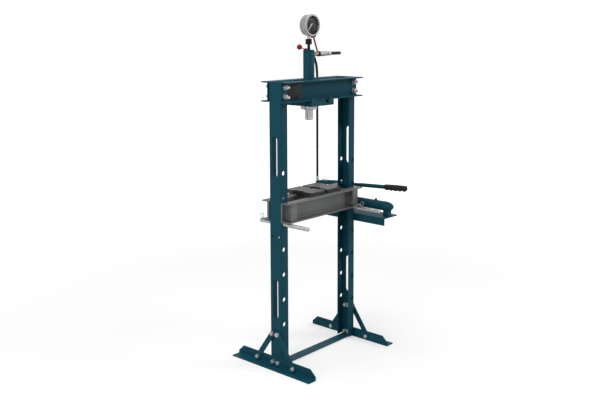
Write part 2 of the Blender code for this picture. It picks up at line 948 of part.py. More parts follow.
def carriage():
    """A base plate with two bars that rest under the lower flanges and hook over their edges."""
    base = head_bottom - carriage_drop
    plate_top = base + carriage_plate
    bar_top = head_bottom - seat_gap
    inner = head_front_tip + seat_gap
    outer = inner + carriage_lip
    hook_bottom = head_bottom + head_wall + seat_gap
    hook_top = hook_bottom + carriage_lip
    half_shape = [
        (inner, bar_top),
        (inner, hook_bottom),
        (outer - carriage_hook, hook_bottom),
        (outer - carriage_hook, hook_top),
        (outer, hook_top),
        (outer, base),
    ]
    shape = half_shape + [(-across, up) for across, up in reversed(half_shape)]
    left = cylinder_offset - carriage_length / 2
    right = cylinder_offset + carriage_length / 2
    plate_low = (left + carriage_bar - weld_sink, -outer, base)
    plate_high = (right - carriage_bar + weld_sink, outer, plate_top)
    made = block("carriage", plate_low, plate_high)
    join(made, extruded("carriage_bar_left", [shape], "X", left, left + carriage_bar, cutters))
    join(made, extruded("carriage_bar_right", [shape], "X", right - carriage_bar, right, cutters))
    apron_top = bar_top - weld_sink
    apron_foot = plate_top - weld_sink
    start = left + carriage_bar - weld_sink
    window_start = cylinder_offset + carriage_window_offset - carriage_window / 2
    window_end = window_start + carriage_window
    apron = [(start, apron_foot), (window_start + carriage_window_slope, apron_foot)]
    apron += [(window_start, apron_top), (start, apron_top)]
    for facing in (-1, 1):
        low_y, high_y = sorted((facing * inner, facing * outer))
        join(made, extruded("carriage_apron", [apron], "Y", low_y, high_y, cutters))
        high = (right - carriage_bar + weld_sink, high_y, apron_top)
        join(made, block("carriage_corner", (window_end, low_y, apron_foot), high, cutters))
    hole_radius = cylinder_thread + bolt_clearance
    depth = carriage_plate + 2 * cut_overrun
    place = (cylinder_offset, 0, base + carriage_plate / 2)
    cut(made, rod("carriage_hole", "Z", place, hole_radius, depth, cutters))
    return finish(made, blue_paint)


carriage()
carriage_plate_top = head_bottom - carriage_drop + carriage_plate


# Cylinder with its collar, ring nut and cap


def cylinder_body():
    """A tube with a collar that rests on the carriage and a threaded lower end with the gland."""
    collar_bottom = carriage_plate_top + seat_gap
    collar_top = collar_bottom + cylinder_collar_height
    gland = ram_radius + gland_clearance
    profile = [
        (cylinder_radius, cylinder_top),
        (cylinder_radius, collar_top),
        (cylinder_collar, collar_top),
        (cylinder_collar, collar_bottom),
        (cylinder_thread, collar_bottom),
        (cylinder_thread, cylinder_bottom),
        (gland, cylinder_bottom),
        (gland, cylinder_bottom + gland_height),
        (cylinder_bore, cylinder_bottom + gland_height),
        (cylinder_bore, cylinder_top),
    ]
    made = turned("cylinder_body", "Z", cylinder_axis, profile, closed=True)
    port_length = cylinder_radius - cylinder_bore + 2 * cut_overrun
    port_middle = cylinder_offset + (cylinder_radius + cylinder_bore) / 2
    radius = valve_spigot + valve_spigot_clearance
    place = (port_middle, 0, valve_height)
    cut(made, rod("cylinder_port", "X", place, radius, port_length, cutters, bolt_sides))
    return finish(made, blue_paint)


def ring_nut():
    """A round nut with spanner slots that clamps the carriage against the collar."""
    top = head_bottom - carriage_drop - seat_gap
    bottom = top - ring_nut_height
    bore = cylinder_thread + seat_gap
    profile = [(ring_nut_radius, top), (ring_nut_radius, bottom), (bore, bottom), (bore, top)]
    made = turned("ring_nut", "Z", cylinder_axis, profile, closed=True)
    slots = []
    for index in range(ring_nut_slots):
        angle = math.tau * index / ring_nut_slots + math.tau / (2 * ring_nut_slots)
        reach = ring_nut_radius - ring_nut_slot_depth / 2 + cut_overrun / 2
        place = cylinder_axis + Vector((math.cos(angle) * reach, math.sin(angle) * reach, (top + bottom) / 2))
        half = Vector((ring_nut_slot_depth + cut_overrun, ring_nut_slot_width, ring_nut_height + cut_overrun)) / 2
        slot = block("ring_nut_slot", -half, half, cutters)
        slot.rotation_euler = (0, 0, angle)
        slot.location = place
        slots.append(slot)
    cut(made, gathered("ring_nut_slots", slots))
    return finish(made, zinc)


def cylinder_cap():
    """A cap with a spigot, a bore for the gauge and a headed post for the ball lever."""
    flange_bottom = cylinder_top + seat_gap
    top = flange_bottom + cap_flange
    spigot = cylinder_bore - seat_gap
    profile = [
        (cylinder_radius, top),
        (cylinder_radius, flange_bottom),
        (spigot, flange_bottom),
        (spigot, flange_bottom - cap_spigot),
        (cap_bore, flange_bottom - cap_spigot),
        (cap_bore, top),
    ]
    made = turned("cylinder_cap", "Z", cylinder_axis, profile, closed=True)
    hub_top = top + 2 * seat_gap + ball_lever_hub_height
    post_axis = cylinder_axis - Vector((cap_post_offset, 0, 0))
    post = [
        (0, hub_top + cap_post_head_height),
        (cap_post_head, hub_top + cap_post_head_height),
        (cap_post_head, hub_top),
        (cap_post_radius, hub_top),
        (cap_post_radius, top - cap_flange / 2),
        (0, top - cap_flange / 2),
    ]
    join(made, turned("cap_post", "Z", post_axis, post, group=cutters, steps=bolt_sides))
    return finish(made, blue_paint)


cylinder_body()
ring_nut()
cylinder_cap()


# Ram, its seal and the return spring inside it


def ram():
    """A hollow ram with a grooved piston at its top and a rounded nose."""
    piston_bottom = ram_top - piston_height
    groove = piston_radius - seal_depth
    groove_top = ram_top - (piston_height - seal_height) / 2
    groove_bottom = groove_top - seal_height
    nose = arc((ram_radius - ram_nose, ram_bottom + ram_nose), ram_nose, 0, -90, 4)
    profile = [
        (0, ram_bottom + ram_floor),
        (ram_bore, ram_bottom + ram_floor),
        (ram_bore, ram_top),
        (piston_radius, ram_top),
        (piston_radius, groove_top),
        (groove, groove_top),
        (groove, groove_bottom),
        (piston_radius, groove_bottom),
        (piston_radius, piston_bottom),
        (ram_radius, piston_bottom),
    ]
    made = turned("ram", "Z", cylinder_axis, profile + nose + [(0, ram_bottom)])
    return finish(made, chrome)


def ram_seal():
    """The piston's ring, in its groove."""
    groove_top = ram_top - (piston_height - seal_height) / 2
    top = groove_top - seat_gap
    bottom = groove_top - seal_height + seat_gap
    inner = piston_radius - seal_depth + seat_gap
    outer = piston_radius + seal_lip
    profile = [(outer, top), (outer, bottom), (inner, bottom), (inner, top)]
    return finish(turned("ram_seal", "Z", cylinder_axis, profile, closed=True), polymer)


def return_spring():
    """A coil inside the ram, from its floor to the cap, which pulls the ram back up."""
    low = ram_bottom + ram_floor + seat_gap + spring_wire
    high = cylinder_top + seat_gap - cap_spigot - seat_gap - spring_wire
    count = spring_coils * spring_points
    points = []
    for index in range(count + 1):
        angle = math.tau * index / spring_points
        height = low + (high - low) * index / count
        points.append((spring_radius * math.cos(angle), spring_radius * math.sin(angle), height))
    made = wire("return_spring", points, spring_wire, sides_level=1)
    made.location = cylinder_axis
    return finish(made, black_steel)


ram()
ram_seal()
return_spring()


# Pressure gauge


def gauge_adapter():
    """A threaded stem and a hexagon nut that takes the gauge's own stem."""
    bottom = cylinder_top + seat_gap - adapter_tail
    middle = cylinder_axis + Vector((0, 0, (bottom + adapter_nut_top) / 2))
    made = rod("gauge_adapter", "Z", middle, adapter_stem_radius, adapter_nut_top - bottom, press, bolt_sides)
    nut_middle = cylinder_axis + Vector((0, 0, (adapter_nut_bottom + adapter_nut_top) / 2))
    nut_height = adapter_nut_top - adapter_nut_bottom
    join(made, hexagon("gauge_adapter_nut", "Z", nut_middle, adapter_hexagon, nut_height))
    socket_top = adapter_nut_top + cut_overrun
    socket_bottom = adapter_nut_top - adapter_socket_depth
    place = cylinder_axis + Vector((0, 0, (socket_top + socket_bottom) / 2))
    radius = gauge_stem_radius + seat_gap
    cut(made, rod("gauge_socket", "Z", place, radius, socket_top - socket_bottom, cutters, bolt_sides))
    return finish(made, black_steel)


gauge_centre = cylinder_axis + Vector((0, 0, gauge_height))


def gauge_case():
    """A cup open to the front, with steps for the dial and the glass, a post and a stem."""
    inside_back = -gauge_back + gauge_wall
    glass_seat_top = gauge_glass_place + gauge_glass_thickness + 2 * seat_gap
    bezel_back = gauge_front - gauge_bezel_depth
    running = needle_spindle + needle_running_gap
    profile = [
        (0, gauge_post_top - needle_spindle_depth),
        (running, gauge_post_top - needle_spindle_depth),
        (running, gauge_post_top),
        (gauge_post_radius, gauge_post_top),
        (gauge_post_radius, inside_back),
        (gauge_chamber, inside_back),
        (gauge_chamber, gauge_dial_place - seat_gap),
        (gauge_dial_radius + seat_gap, gauge_dial_place - seat_gap),
        (gauge_dial_radius + seat_gap, gauge_glass_place - seat_gap),
        (gauge_glass_radius + seat_gap, gauge_glass_place - seat_gap),
        (gauge_glass_radius + seat_gap, glass_seat_top),
        (gauge_lip, glass_seat_top),
        (gauge_lip, gauge_front),
        (gauge_bezel_radius, gauge_front),
        (gauge_bezel_radius, bezel_back),
        (gauge_case_radius, bezel_back),
        (gauge_case_radius, -gauge_back),
        (0, -gauge_back),
    ]
    made = turned("gauge_case", "Y", gauge_centre, profile)
    stem_bottom = adapter_nut_top - adapter_socket_depth + seat_gap
    stem_top = gauge_height - gauge_case_radius + gauge_wall
    place = cylinder_axis + Vector((0, 0, (stem_bottom + stem_top) / 2))
    join(made, rod("gauge_stem", "Z", place, gauge_stem_radius, stem_top - stem_bottom, cutters, bolt_sides))
    return finish(made, zinc)


def gauge_disc(name, radius, start, thickness, look, hole):
    """A flat disc inside the gauge, with an optional hole in its middle."""
    inner = [(0, start + thickness)] if hole == 0 else [(hole, start + thickness)]
    outer = [(radius, start + thickness), (radius, start)]
    last = [(0, start)] if hole == 0 else [(hole, start)]
    made = turned(name, "Y", gauge_centre, inner + outer + last, closed=hole > 0)
    return finish(made, look)


def gauge_needle():
    """A pointer with its tail, on a hub and a spindle that turns in the case's post."""
    hub_bottom = gauge_dial_place + gauge_dial_thickness + seat_gap
    hub_top = hub_bottom + needle_hub_height
    spindle_bottom = gauge_post_top - needle_spindle_depth + seat_gap
    carrier = pivot("needle_pivot", gauge_centre)
    profile = [
        (0, hub_top),
        (needle_hub, hub_top),
        (needle_hub, hub_bottom),
        (needle_spindle, hub_bottom),
        (needle_spindle, spindle_bottom),
        (0, spindle_bottom),
    ]
    made = turned("gauge_needle", "Y", (0, 0, 0), profile, steps=bolt_sides)
    made.parent = carrier
    angle = math.radians(needle_rest_angle)
    along = Vector((math.cos(angle), math.sin(angle)))
    side = Vector((-along.y, along.x)) * needle_width / 2
    tip = along * needle_length
    tail = -along * needle_tail
    outline = [tuple(tip), tuple(side), tuple(tail + side), tuple(tail - side), tuple(-side)]
    flat_end = hub_bottom + needle_hub_height / 2
    pointer = extruded("needle_pointer", [outline], "Y", -flat_end, -(flat_end - needle_thickness), cutters)
    pointer.parent = carrier
    join(made, pointer)
    return finish(made, polymer)


gauge_adapter()
gauge_case()
dial_hole = needle_spindle + needle_running_gap
gauge_disc("gauge_dial", gauge_dial_radius, gauge_dial_place, gauge_dial_thickness, black_steel, dial_hole)
gauge_needle()
gauge_disc("gauge_glass", gauge_glass_radius, gauge_glass_place, gauge_glass_thickness, glass, 0)


# Side valve, its handle and the T lever round its neck
valve_axis = cylinder_axis + Vector((0, 0, valve_height))
hose_route = [
    hose_boss_face + Vector(a * b for a, b in zip(share, hose_end - hose_boss_face))
    for share in hose_shares
]
hose_heading = (hose_route[0] - hose_boss_face).normalized()
hose_start = hose_boss_face + hose_heading * hose_fitting_length


def aligned_rod(name, start, heading, radius, length, group, sides=bolt_sides):
    """A cylinder that leaves a point in any direction."""
    made = rod(name, "Z", start + heading * length / 2, radius, length, group, sides)
    made.rotation_euler = heading.to_track_quat("Z", "Y").to_euler()
    return made


def valve_body():
    """A turned body screwed into the cylinder's wall, with a neck, a spindle and a hose boss."""
    neck_end = valve_neck_start + valve_neck_length
    profile = [
        (0, neck_end + valve_spindle_length),
        (valve_spindle_radius, neck_end + valve_spindle_length),
        (valve_spindle_radius, neck_end),
        (valve_neck_radius, neck_end),
        (valve_neck_radius, valve_neck_start),
        (valve_body_radius, valve_neck_start),
        (valve_body_radius, valve_start),
        (valve_spigot, valve_start),
        (valve_spigot, cylinder_bore + seat_gap),
        (0, cylinder_bore + seat_gap),
    ]
    made = turned("valve_body", "X", valve_axis, profile, steps=round_sides)
    boss_start = hose_boss_face - hose_heading * hose_boss_length
    join(made, aligned_rod("valve_boss", boss_start, hose_heading, hose_boss_radius, hose_boss_length, cutters))
    return finish(made, brass)


def valve_handle():
    """A tapered barrel with ribs that turns on the valve's spindle, and a tang for the grip."""
    barrel_end = handle_start + barrel_length
    bore = valve_spindle_radius + valve_running_gap
    bore_end = handle_start + valve_spindle_length + valve_running_gap
    profile = [
        (0, barrel_end + barrel_tang_length),
        (barrel_tang_radius, barrel_end + barrel_tang_length),
        (barrel_tang_radius, barrel_end),
        (barrel_small_radius, barrel_end),
    ]
    for index in range(barrel_ribs):
        share = (index + 1) / (barrel_ribs + 1)
        middle = barrel_end - barrel_length * share
        radius = barrel_small_radius + (barrel_large_radius - barrel_small_radius) * share
        half = barrel_groove_width / 2
        profile += [(radius, middle + half), (radius - barrel_groove, middle), (radius, middle - half)]
    profile += [
        (barrel_large_radius, handle_start),
        (bore, handle_start),
        (bore, bore_end),
        (0, bore_end),
    ]
    made = turned("valve_handle", "X", (0, 0, 0), profile, steps=hole_sides)
    made.parent = handle_pivot
    return finish(made, zinc)


def valve_grip():
    """A rubber grip pushed onto the barrel's tang."""
    start = handle_start + barrel_length + seat_gap
    end = start + valve_grip_length
    bore = barrel_tang_radius + seat_gap
    bore_end = handle_start + barrel_length + barrel_tang_length + seat_gap
    nose = arc((valve_grip_radius - valve_grip_round, end - valve_grip_round), valve_grip_round, 90, 0, 3)
    profile = [(0, end)] + nose
    profile += [(valve_grip_radius, start), (bore, start), (bore, bore_end), (0, bore_end)]
    made = turned("valve_grip", "X", (0, 0, 0), profile, steps=hole_sides)
    made.parent = handle_pivot
    return finish(made, rubber)


def t_lever():
    """A wire ring round the valve's neck, its arm and a short cross bar."""
    centre = valve_neck_start + valve_neck_length / 2
    section = [(t_lever_ring + a, b) for a, b in arc((0, 0), t_lever_wire, 90, -270, 10)[:-1]]
    made = turned("t_lever", "X", (centre, 0, 0), section, closed=True, steps=hole_sides)
    made.parent = t_lever_pivot
    tilt = math.radians(t_lever_tilt)
    up = Vector((0, math.sin(tilt), math.cos(tilt)))
    across = Vector((0, -math.cos(tilt), math.sin(tilt)))
    start = Vector((centre, 0, 0)) + up * t_lever_ring
    arm = aligned_rod("t_lever_arm", start, up, t_lever_arm, t_lever_length - t_lever_ring, cutters)
    turn = math.radians(t_lever_bar_turn)
    heading = Vector((math.cos(turn), 0, 0)) + across * math.sin(turn)
    bar_start = Vector((centre, 0, 0)) + up * t_lever_length - heading * t_lever_bar / 2
    bar = aligned_rod("t_lever_bar", bar_start, heading, t_lever_bar_radius, t_lever_bar, cutters)
    arm.parent = t_lever_pivot
    bar.parent = t_lever_pivot
    join(made, arm, bar)
    return finish(made, red_paint)


handle_pivot = pivot("valve_handle_pivot", valve_axis)
t_lever_pivot = pivot("t_lever_pivot", valve_axis)
valve_body()
valve_handle()
valve_grip()
t_lever()


# Ball lever on the cylinder's cap


def ball_lever():
    """A hub on the cap's post, a thin arm that rises to the side and a ball."""
    place = cylinder_axis + Vector((-cap_post_offset, 0, cap_top + seat_gap))
    carrier = pivot("ball_lever_pivot", place)
    bore = cap_post_radius + seat_gap + seat_gap
    height = ball_lever_hub_height
    profile = [(ball_lever_hub, height), (ball_lever_hub, 0), (bore, 0), (bore, height)]
    made = turned("ball_lever", "Z", (0, 0, 0), profile, closed=True, steps=hole_sides)
    made.parent = carrier
    start = Vector((-(ball_lever_hub + bore) / 2, 0, height / 2))
    ball_place = Vector((-ball_lever_length, 0, height / 2 + ball_lever_rise))
    heading = (ball_place - start).normalized()
    length = (ball_place - start).length
    arm = aligned_rod("ball_lever_arm", start, heading, ball_lever_wire, length, cutters)
    ball = mesh_from(
        cutters,
        "ball_lever_ball",
        lambda shape: bmesh.ops.create_uvsphere(shape, u_segments=16, v_segments=10, radius=ball_radius),
    )
    ball.location = ball_place
    arm.parent = carrier
    ball.parent = carrier
    join(made, arm, ball)
    return finish(made, red_paint)


ball_lever()


# Hose and its two end fittings


def smooth_route(points, steps):
    """A smooth curve through the points, with this many steps between each two."""
    points = [Vector(point) for point in points]
    ends = [points[0] * 2 - points[1]] + points + [points[-1] * 2 - points[-2]]
    route = []
    for index in range(1, len(ends) - 2):
        before, here, after, beyond = ends[index - 1 : index + 3]
        for step in range(steps):
            t = step / steps
            swing = (before * -1 + here * 3 - after * 3 + beyond) * t**3
            bend = (before * 2 - here * 5 + after * 4 - beyond) * t**2
            lean = (after - before) * t
            route.append((swing + bend + lean + here * 2) / 2)
    route.append(points[-1])
    return route


hose_points = smooth_route([hose_start] + hose_route + [hose_end], hose_steps)
finish(wire("hose", hose_points, hose_radius), rubber)


def cylinder_fitting():
    """A plain ferrule between the valve's boss and the hose."""
    start = hose_boss_face + hose_heading * seat_gap
    length = hose_fitting_length - 2 * seat_gap
    name = "hose_fitting_cylinder"
    made = aligned_rod(name, start, hose_heading, hose_fitting_radius, length, press, hole_sides)
    return finish(made, black_steel)


cylinder_fitting()


def pump_fitting():
    """A hexagon and a crimped ferrule on the pump's port."""
    top = hose_end.z - seat_gap
    centre = Vector((pump_place, hose_port_place, (hose_crimp_bottom + top) / 2))
    made = rod(
        "hose_fitting_pump", "Z", centre, hose_fitting_radius, top - hose_crimp_bottom, press, hole_sides
    )
    collar = Vector((pump_place, hose_port_place, hose_crimp_bottom + hose_crimp_collar / 2))
    join(made, hexagon("pump_fitting_hexagon", "Z", collar, hose_crimp_hexagon, hose_crimp_collar))
    return finish(made, zinc)


pump_fitting()


# Pump shelf with its two studs through the right upright


def pump_shelf():
    """An angle whose studs pass through the web, with nuts inside the channel."""
    inner = half_width + seat_gap
    shape = [
        (inner, shelf_height),
        (inner + shelf_width, shelf_height),
        (inner + shelf_width, shelf_height - shelf_wall),
        (inner + shelf_wall, shelf_height - shelf_wall),
        (inner + shelf_wall, shelf_height - shelf_leg),
        (inner, shelf_height - shelf_leg),
    ]
    made = extruded("pump_shelf", [shape], "Y", shelf_front, shelf_rear)
    nut_face = inner_web_face - seat_gap
    nut_end = nut_face - shelf_stud_nut
    for across in (-bracket_hole_spread, bracket_hole_spread):
        pieces = [
            ("round", shelf_stud_radius, nut_end - bolt_tail, inner + shelf_wall / 2),
            ("hexagon", shelf_stud_hexagon, nut_end, nut_face),
        ]
        place = (0, across, bracket_hole_height)
        join(made, *bolt_stack(f"shelf_stud_{across:+.3f}", "X", place, 1, pieces))
    return finish(made, blue_paint)


pump_shelf()


# Hand pump


def pump_tank():
    """The oil tank: a tube with a long domed nose, open at the rear, and a foot on the shelf."""
    nose_end = -tank_front
    nose_start = nose_end - tank_nose_length
    rear = -(pump_head_front - seat_gap)
    inner = tank_radius - tank_wall
    nose = arc((tank_radius - tank_nose, 0), tank_nose, 90, 0, 6)
    nose = [(across, nose_start + up / tank_nose * tank_nose_length) for across, up in nose]
    profile = [(0, nose_end)] + nose
    profile += [(tank_radius, rear), (inner, rear), (inner, nose_start), (0, nose_start)]
    made = turned("pump_tank", "Y", (pump_place, 0, tank_axis_height), profile)
    low = (pump_place - tank_foot_width / 2, tank_foot_front, shelf_height + seat_gap)
    high = (
        pump_place + tank_foot_width / 2,
        tank_foot_front + tank_foot_length,
        tank_axis_height - tank_radius + tank_foot_sink,
    )
    join(made, block("tank_foot", low, high, cutters))
    cavity = [(0, nose_start), (inner, nose_start), (inner, rear), (0, rear)]
    cut(made, turned("tank_cavity", "Y", (pump_place, 0, tank_axis_height), cavity, group=cutters))
    place = (pump_place, filler_place, tank_axis_height + tank_radius - tank_wall / 2)
    radius = filler_stem_radius + seat_gap
    depth = tank_wall + 2 * cut_overrun
    cut(made, rod("filler_hole", "Z", place, radius, depth, cutters, bolt_sides))
    return finish(made, blue_paint)


def filler_cap():
    """A knurled cap on the tank, with its stem in the filler hole."""
    top = tank_axis_height + tank_radius + seat_gap
    profile = [
        (0, filler_height),
        (filler_radius, filler_height),
        (filler_radius, 0),
        (filler_stem_radius, 0),
        (filler_stem_radius, -filler_stem_length),
        (0, -filler_stem_length),
    ]
    made = turned("filler_cap", "Z", (pump_place, filler_place, top), profile, steps=bolt_sides)
    return finish(made, black_steel)


def pump_head():
    """The pump block: a spigot for the tank, the plunger's gland, the lever's lug and the port."""
    half = pump_head_width / 2
    low = (pump_place - half, pump_head_front, shelf_height + seat_gap)
    high = (pump_place + half, pump_head_rear, pump_head_top)
    made = soften(block("pump_head", low, high), pump_head_edge, 1)
    spigot_radius = tank_radius - tank_wall - pump_spigot_gap
    spigot_middle = pump_head_front - pump_spigot_length / 2 + weld_sink
    place = (pump_place, spigot_middle, tank_axis_height)
    spigot = rod("pump_spigot", "Y", place, spigot_radius, pump_spigot_length + 2 * weld_sink, cutters)
    lug_low = pump_head_top - weld_sink
    lug_top = arc((lever_pivot_place, lever_pivot_height), lever_lug_radius, 0, 180, 8)
    lug_shape = lug_top + [
        (lever_pivot_place - lever_lug_radius, lug_low),
        (lever_pivot_place + lever_lug_radius, lug_low),
    ]
    lug_start = pump_place - lever_lug_width / 2
    lug = extruded("pump_lug", [lug_shape], "X", lug_start, lug_start + lever_lug_width, cutters)
    plunger_place = lever_pivot_place - plunger_arm
    gland_place = (pump_place, plunger_place, pump_head_top + gland_nut_height / 2 - weld_sink)
    gland = rod("pump_gland", "Z", gland_place, gland_nut_radius, gland_nut_height, cutters, hole_sides)
    port_top = hose_crimp_bottom - seat_gap
    port_bottom = pump_head_top - weld_sink
    port_place = (pump_place, hose_port_place, (port_top + port_bottom) / 2)
    port = rod("pump_port", "Z", port_place, hose_port_radius, port_top - port_bottom, cutters, hole_sides)
    join(made, spigot, lug, gland, port)
    pin_bore = lever_pin_radius + lever_pin_clearance
    pin_middle = (pump_place, lever_pivot_place, lever_pivot_height)
    cut(made, rod("lug_bore", "X", pin_middle, pin_bore, lever_lug_width + 2 * cut_overrun, cutters, hole_sides))
    bore_top = pump_head_top + gland_nut_height + cut_overrun
    bore_middle = (pump_place, plunger_place, (bore_top + plunger_bore_bottom) / 2)
    bore = plunger_radius + plunger_clearance
    cut(made, rod("plunger_bore", "Z", bore_middle, bore, bore_top - plunger_bore_bottom, cutters, hole_sides))
    stem_bore = knob_stem_radius + seat_gap
    face = pump_place + half
    stem_low = face - knob_stem_length - seat_gap
    stem_high = face + cut_overrun
    stem_middle = ((stem_low + stem_high) / 2, knob_place, knob_height)
    cut(made, rod("knob_bore", "X", stem_middle, stem_bore, stem_high - stem_low, cutters, bolt_sides))
    return finish(made, blue_paint)


def release_knob():
    """The pressure release knob on the outer side of the pump block."""
    face = pump_place + pump_head_width / 2
    profile = [
        (0, seat_gap + knob_length),
        (knob_radius, seat_gap + knob_length),
        (knob_radius, seat_gap),
        (knob_stem_radius, seat_gap),
        (knob_stem_radius, -knob_stem_length),
        (0, -knob_stem_length),
    ]
    made = turned("release_knob", "X", (face, knob_place, knob_height), profile, steps=bolt_sides)
    return finish(made, black_steel)


pump_tank()
filler_cap()
pump_head()
release_knob()


# Lever: yoke, tube and grip, drawn level about the pivot and then raised
lever_pivot = pivot(
    "pump_lever_pivot",
    (pump_place, lever_pivot_place, lever_pivot_height),
    (-math.radians(lever_rise), 0, 0),
)


def yoke():
    """Two cheeks, the bridge between them, the socket for the tube and the two cross pins."""
    outer = yoke_gap + yoke_cheek
    cheek_front = yoke_bridge_front - yoke_bridge_length / 2
    cheek_shape = arc((0, 0), yoke_radius, 90, -90, 6)
    cheek_shape += [(-cheek_front, -yoke_radius), (-cheek_front, yoke_radius)]
    bridge_low = (-outer, -yoke_bridge_front, -yoke_radius)
    bridge_high = (outer, -(yoke_bridge_front - yoke_bridge_length), yoke_radius)
    made = block("lever_yoke", bridge_low, bridge_high)
    cheek_left = extruded("yoke_cheek_left", [cheek_shape], "X", -outer, -yoke_gap, cutters)
    cheek_right = extruded("yoke_cheek_right", [cheek_shape], "X", yoke_gap, outer, cutters)
    pin_length = 2 * (yoke_gap + yoke_cheek / 2)
    pivot_pin = rod("yoke_pivot_pin", "X", (0, 0, 0), lever_pin_radius, pin_length, cutters, hole_sides)
    drive_pin = rod(
        "yoke_drive_pin", "X", (0, -plunger_arm, 0), lever_pin_radius, pin_length, cutters, hole_sides
    )
    socket_middle = -(yoke_bridge_front + socket_length / 2 - weld_sink)
    socket = rod("yoke_socket", "Y", (0, socket_middle, 0), socket_radius, socket_length, cutters, hole_sides)
    join(made, cheek_left, cheek_right, pivot_pin, drive_pin, socket)
    bore_start = yoke_bridge_front + lever_seat
    bore_end = yoke_bridge_front + socket_length + cut_overrun
    bore_middle = (0, -(bore_start + bore_end) / 2, 0)
    bore = rod(
        "yoke_bore", "Y", bore_middle, lever_rod_radius + seat_gap, bore_end - bore_start, cutters, hole_sides
    )
    cut(made, bore)
    for piece in (made, cheek_left, cheek_right, pivot_pin, drive_pin, socket, bore):
        piece.parent = lever_pivot
    return finish(made, blue_paint)


def lever_tube():
    """The handle's tube: a plain rod in the socket and a wider painted tube towards the grip."""
    start = yoke_bridge_front + lever_seat + seat_gap
    profile = [
        (0, lever_end),
        (lever_tube_radius, lever_end),
        (lever_tube_radius, lever_step_place),
        (lever_rod_radius, lever_step_place),
        (lever_rod_radius, start),
        (0, start),
    ]
    made = turned("pump_lever", "Y", (0, 0, 0), profile, steps=hole_sides)
    made.parent = lever_pivot
    return finish(made, blue_paint)


def lever_grip():
    """A moulded grip with finger hollows along its underside."""
    front = grip_start + grip_length
    pitch = grip_length / grip_scallops
    shape = [(-grip_start, grip_top), (-front, grip_top)]
    for index in range(grip_scallops):
        for share, depth in zip(scallop_shares, scallop_depth_shares):
            along = (index + share) / grip_scallops
            swell = grip_swell * (1 - (2 * along - 1) ** 2)
            shape.append((-front + pitch * (index + share), grip_scallop_depth * depth - grip_bottom - swell))
    shape.append((-grip_start, grip_scallop_depth - grip_bottom))
    made = extruded("lever_grip", [shape], "X", -grip_half_width, grip_half_width)
    soften(made, grip_edge, 2)
    bore_start = grip_start - cut_overrun
    bore_end = lever_end + seat_gap
    bore = rod(
        "grip_bore",
        "Y",
        (0, -(bore_start + bore_end) / 2, 0),
        lever_tube_radius + seat_gap,
        bore_end - bore_start,
        cutters,
        hole_sides,
    )
    cut(made, bore)
    made.parent = lever_pivot
    bore.parent = lever_pivot
    return finish(made, rubber)


scallop_shares = (0.0, 0.15, 0.32, 0.5, 0.68, 0.85)
scallop_depth_shares = (1.0, 0.7, 0.2, 0.0, 0.2, 0.7)
yoke()
lever_tube()
lever_grip()


def plunger():
    """The pump's plunger, with a slotted eye round the lever's drive pin."""
    rise = math.radians(lever_rise)
    eye_place = lever_pivot_place - plunger_arm * math.cos(rise)
    eye_height = lever_pivot_height + plunger_arm * math.sin(rise)
    half = plunger_eye_height / 2
    outline = [
        (eye_place - plunger_eye_front, eye_height - half),
        (eye_place + plunger_eye_rear, eye_height - half),
        (eye_place + plunger_eye_rear, eye_height + half),
        (eye_place - plunger_eye_front, eye_height + half),
    ]
    slot_radius = plunger_slot_height / 2
    slot_end = (eye_place + plunger_slot_travel, eye_height)
    slot = bar_outline((eye_place, eye_height), slot_end, plunger_slot_height)
    eye_half = yoke_gap - 2 * seat_gap
    made = extruded("pump_plunger", [outline, slot], "X", -eye_half, eye_half, middle=(pump_place, 0, 0))
    rod_top = eye_height - half + (half - slot_radius) / 2
    middle = (pump_place, lever_pivot_place - plunger_arm, (rod_top + plunger_bottom) / 2)
    join(made, rod("plunger_rod", "Z", middle, plunger_radius, rod_top - plunger_bottom, cutters, hole_sides))
    return finish(made, chrome)


plunger()


# Bed: two channels, stiffeners over the pins and guide plates between the channels


def bed_channel(name, facing):
    """One bed channel with a folded stiffener welded inside it over each pin."""
    section = channel_outline(bed_height, bed_flange, bed_wall, bed_bend)
    middle = (bed_bottom + bed_top) / 2
    placed = [(facing * (head_web_face + across), middle + up) for across, up in section]
    made = extruded(name, [placed], "X", -bed_length / 2, bed_length / 2)
    web = head_web_face + bed_wall
    near = web - weld_sink
    far = web + stiffener_depth
    low = bed_bottom + bed_wall + stiffener_drain
    high = bed_top - bed_wall + weld_sink
    for side in (-1, 1):
        outer = stiffener_outer
        inner = stiffener_outer - stiffener_width
        fold = [
            (outer, near),
            (outer, far),
            (inner, far),
            (inner, near),
            (inner + stiffener_wall, near),
            (inner + stiffener_wall, far - stiffener_wall),
            (outer - stiffener_wall, far - stiffener_wall),
            (outer - stiffener_wall, near),
        ]
        shape = [(side * across, facing * out) for across, out in fold]
        join(made, extruded(f"{name}_stiffener_{side}", [shape], "Z", low, high, cutters))
    return finish(made, raw_steel)


def bed_rear_with_guides():
    """The rear channel carries the two guide plates that run beside the uprights."""
    made = bed_channel("bed_channel_rear", 1)
    face = half_width - upright_flange - guide_clearance
    low_z = (bed_bottom + bed_top - guide_height) / 2
    for side in (-1, 1):
        low_x, high_x = sorted((side * (face - guide_thickness), side * face))
        low = (low_x, -head_web_face + seat_gap, low_z)
        high = (high_x, head_web_face + weld_sink, low_z + guide_height)
        join(made, block(f"bed_guide_{side}", low, high, cutters))
    return made


bed_channel("bed_channel_front", -1)
bed_rear_with_guides()


# Arbor plates


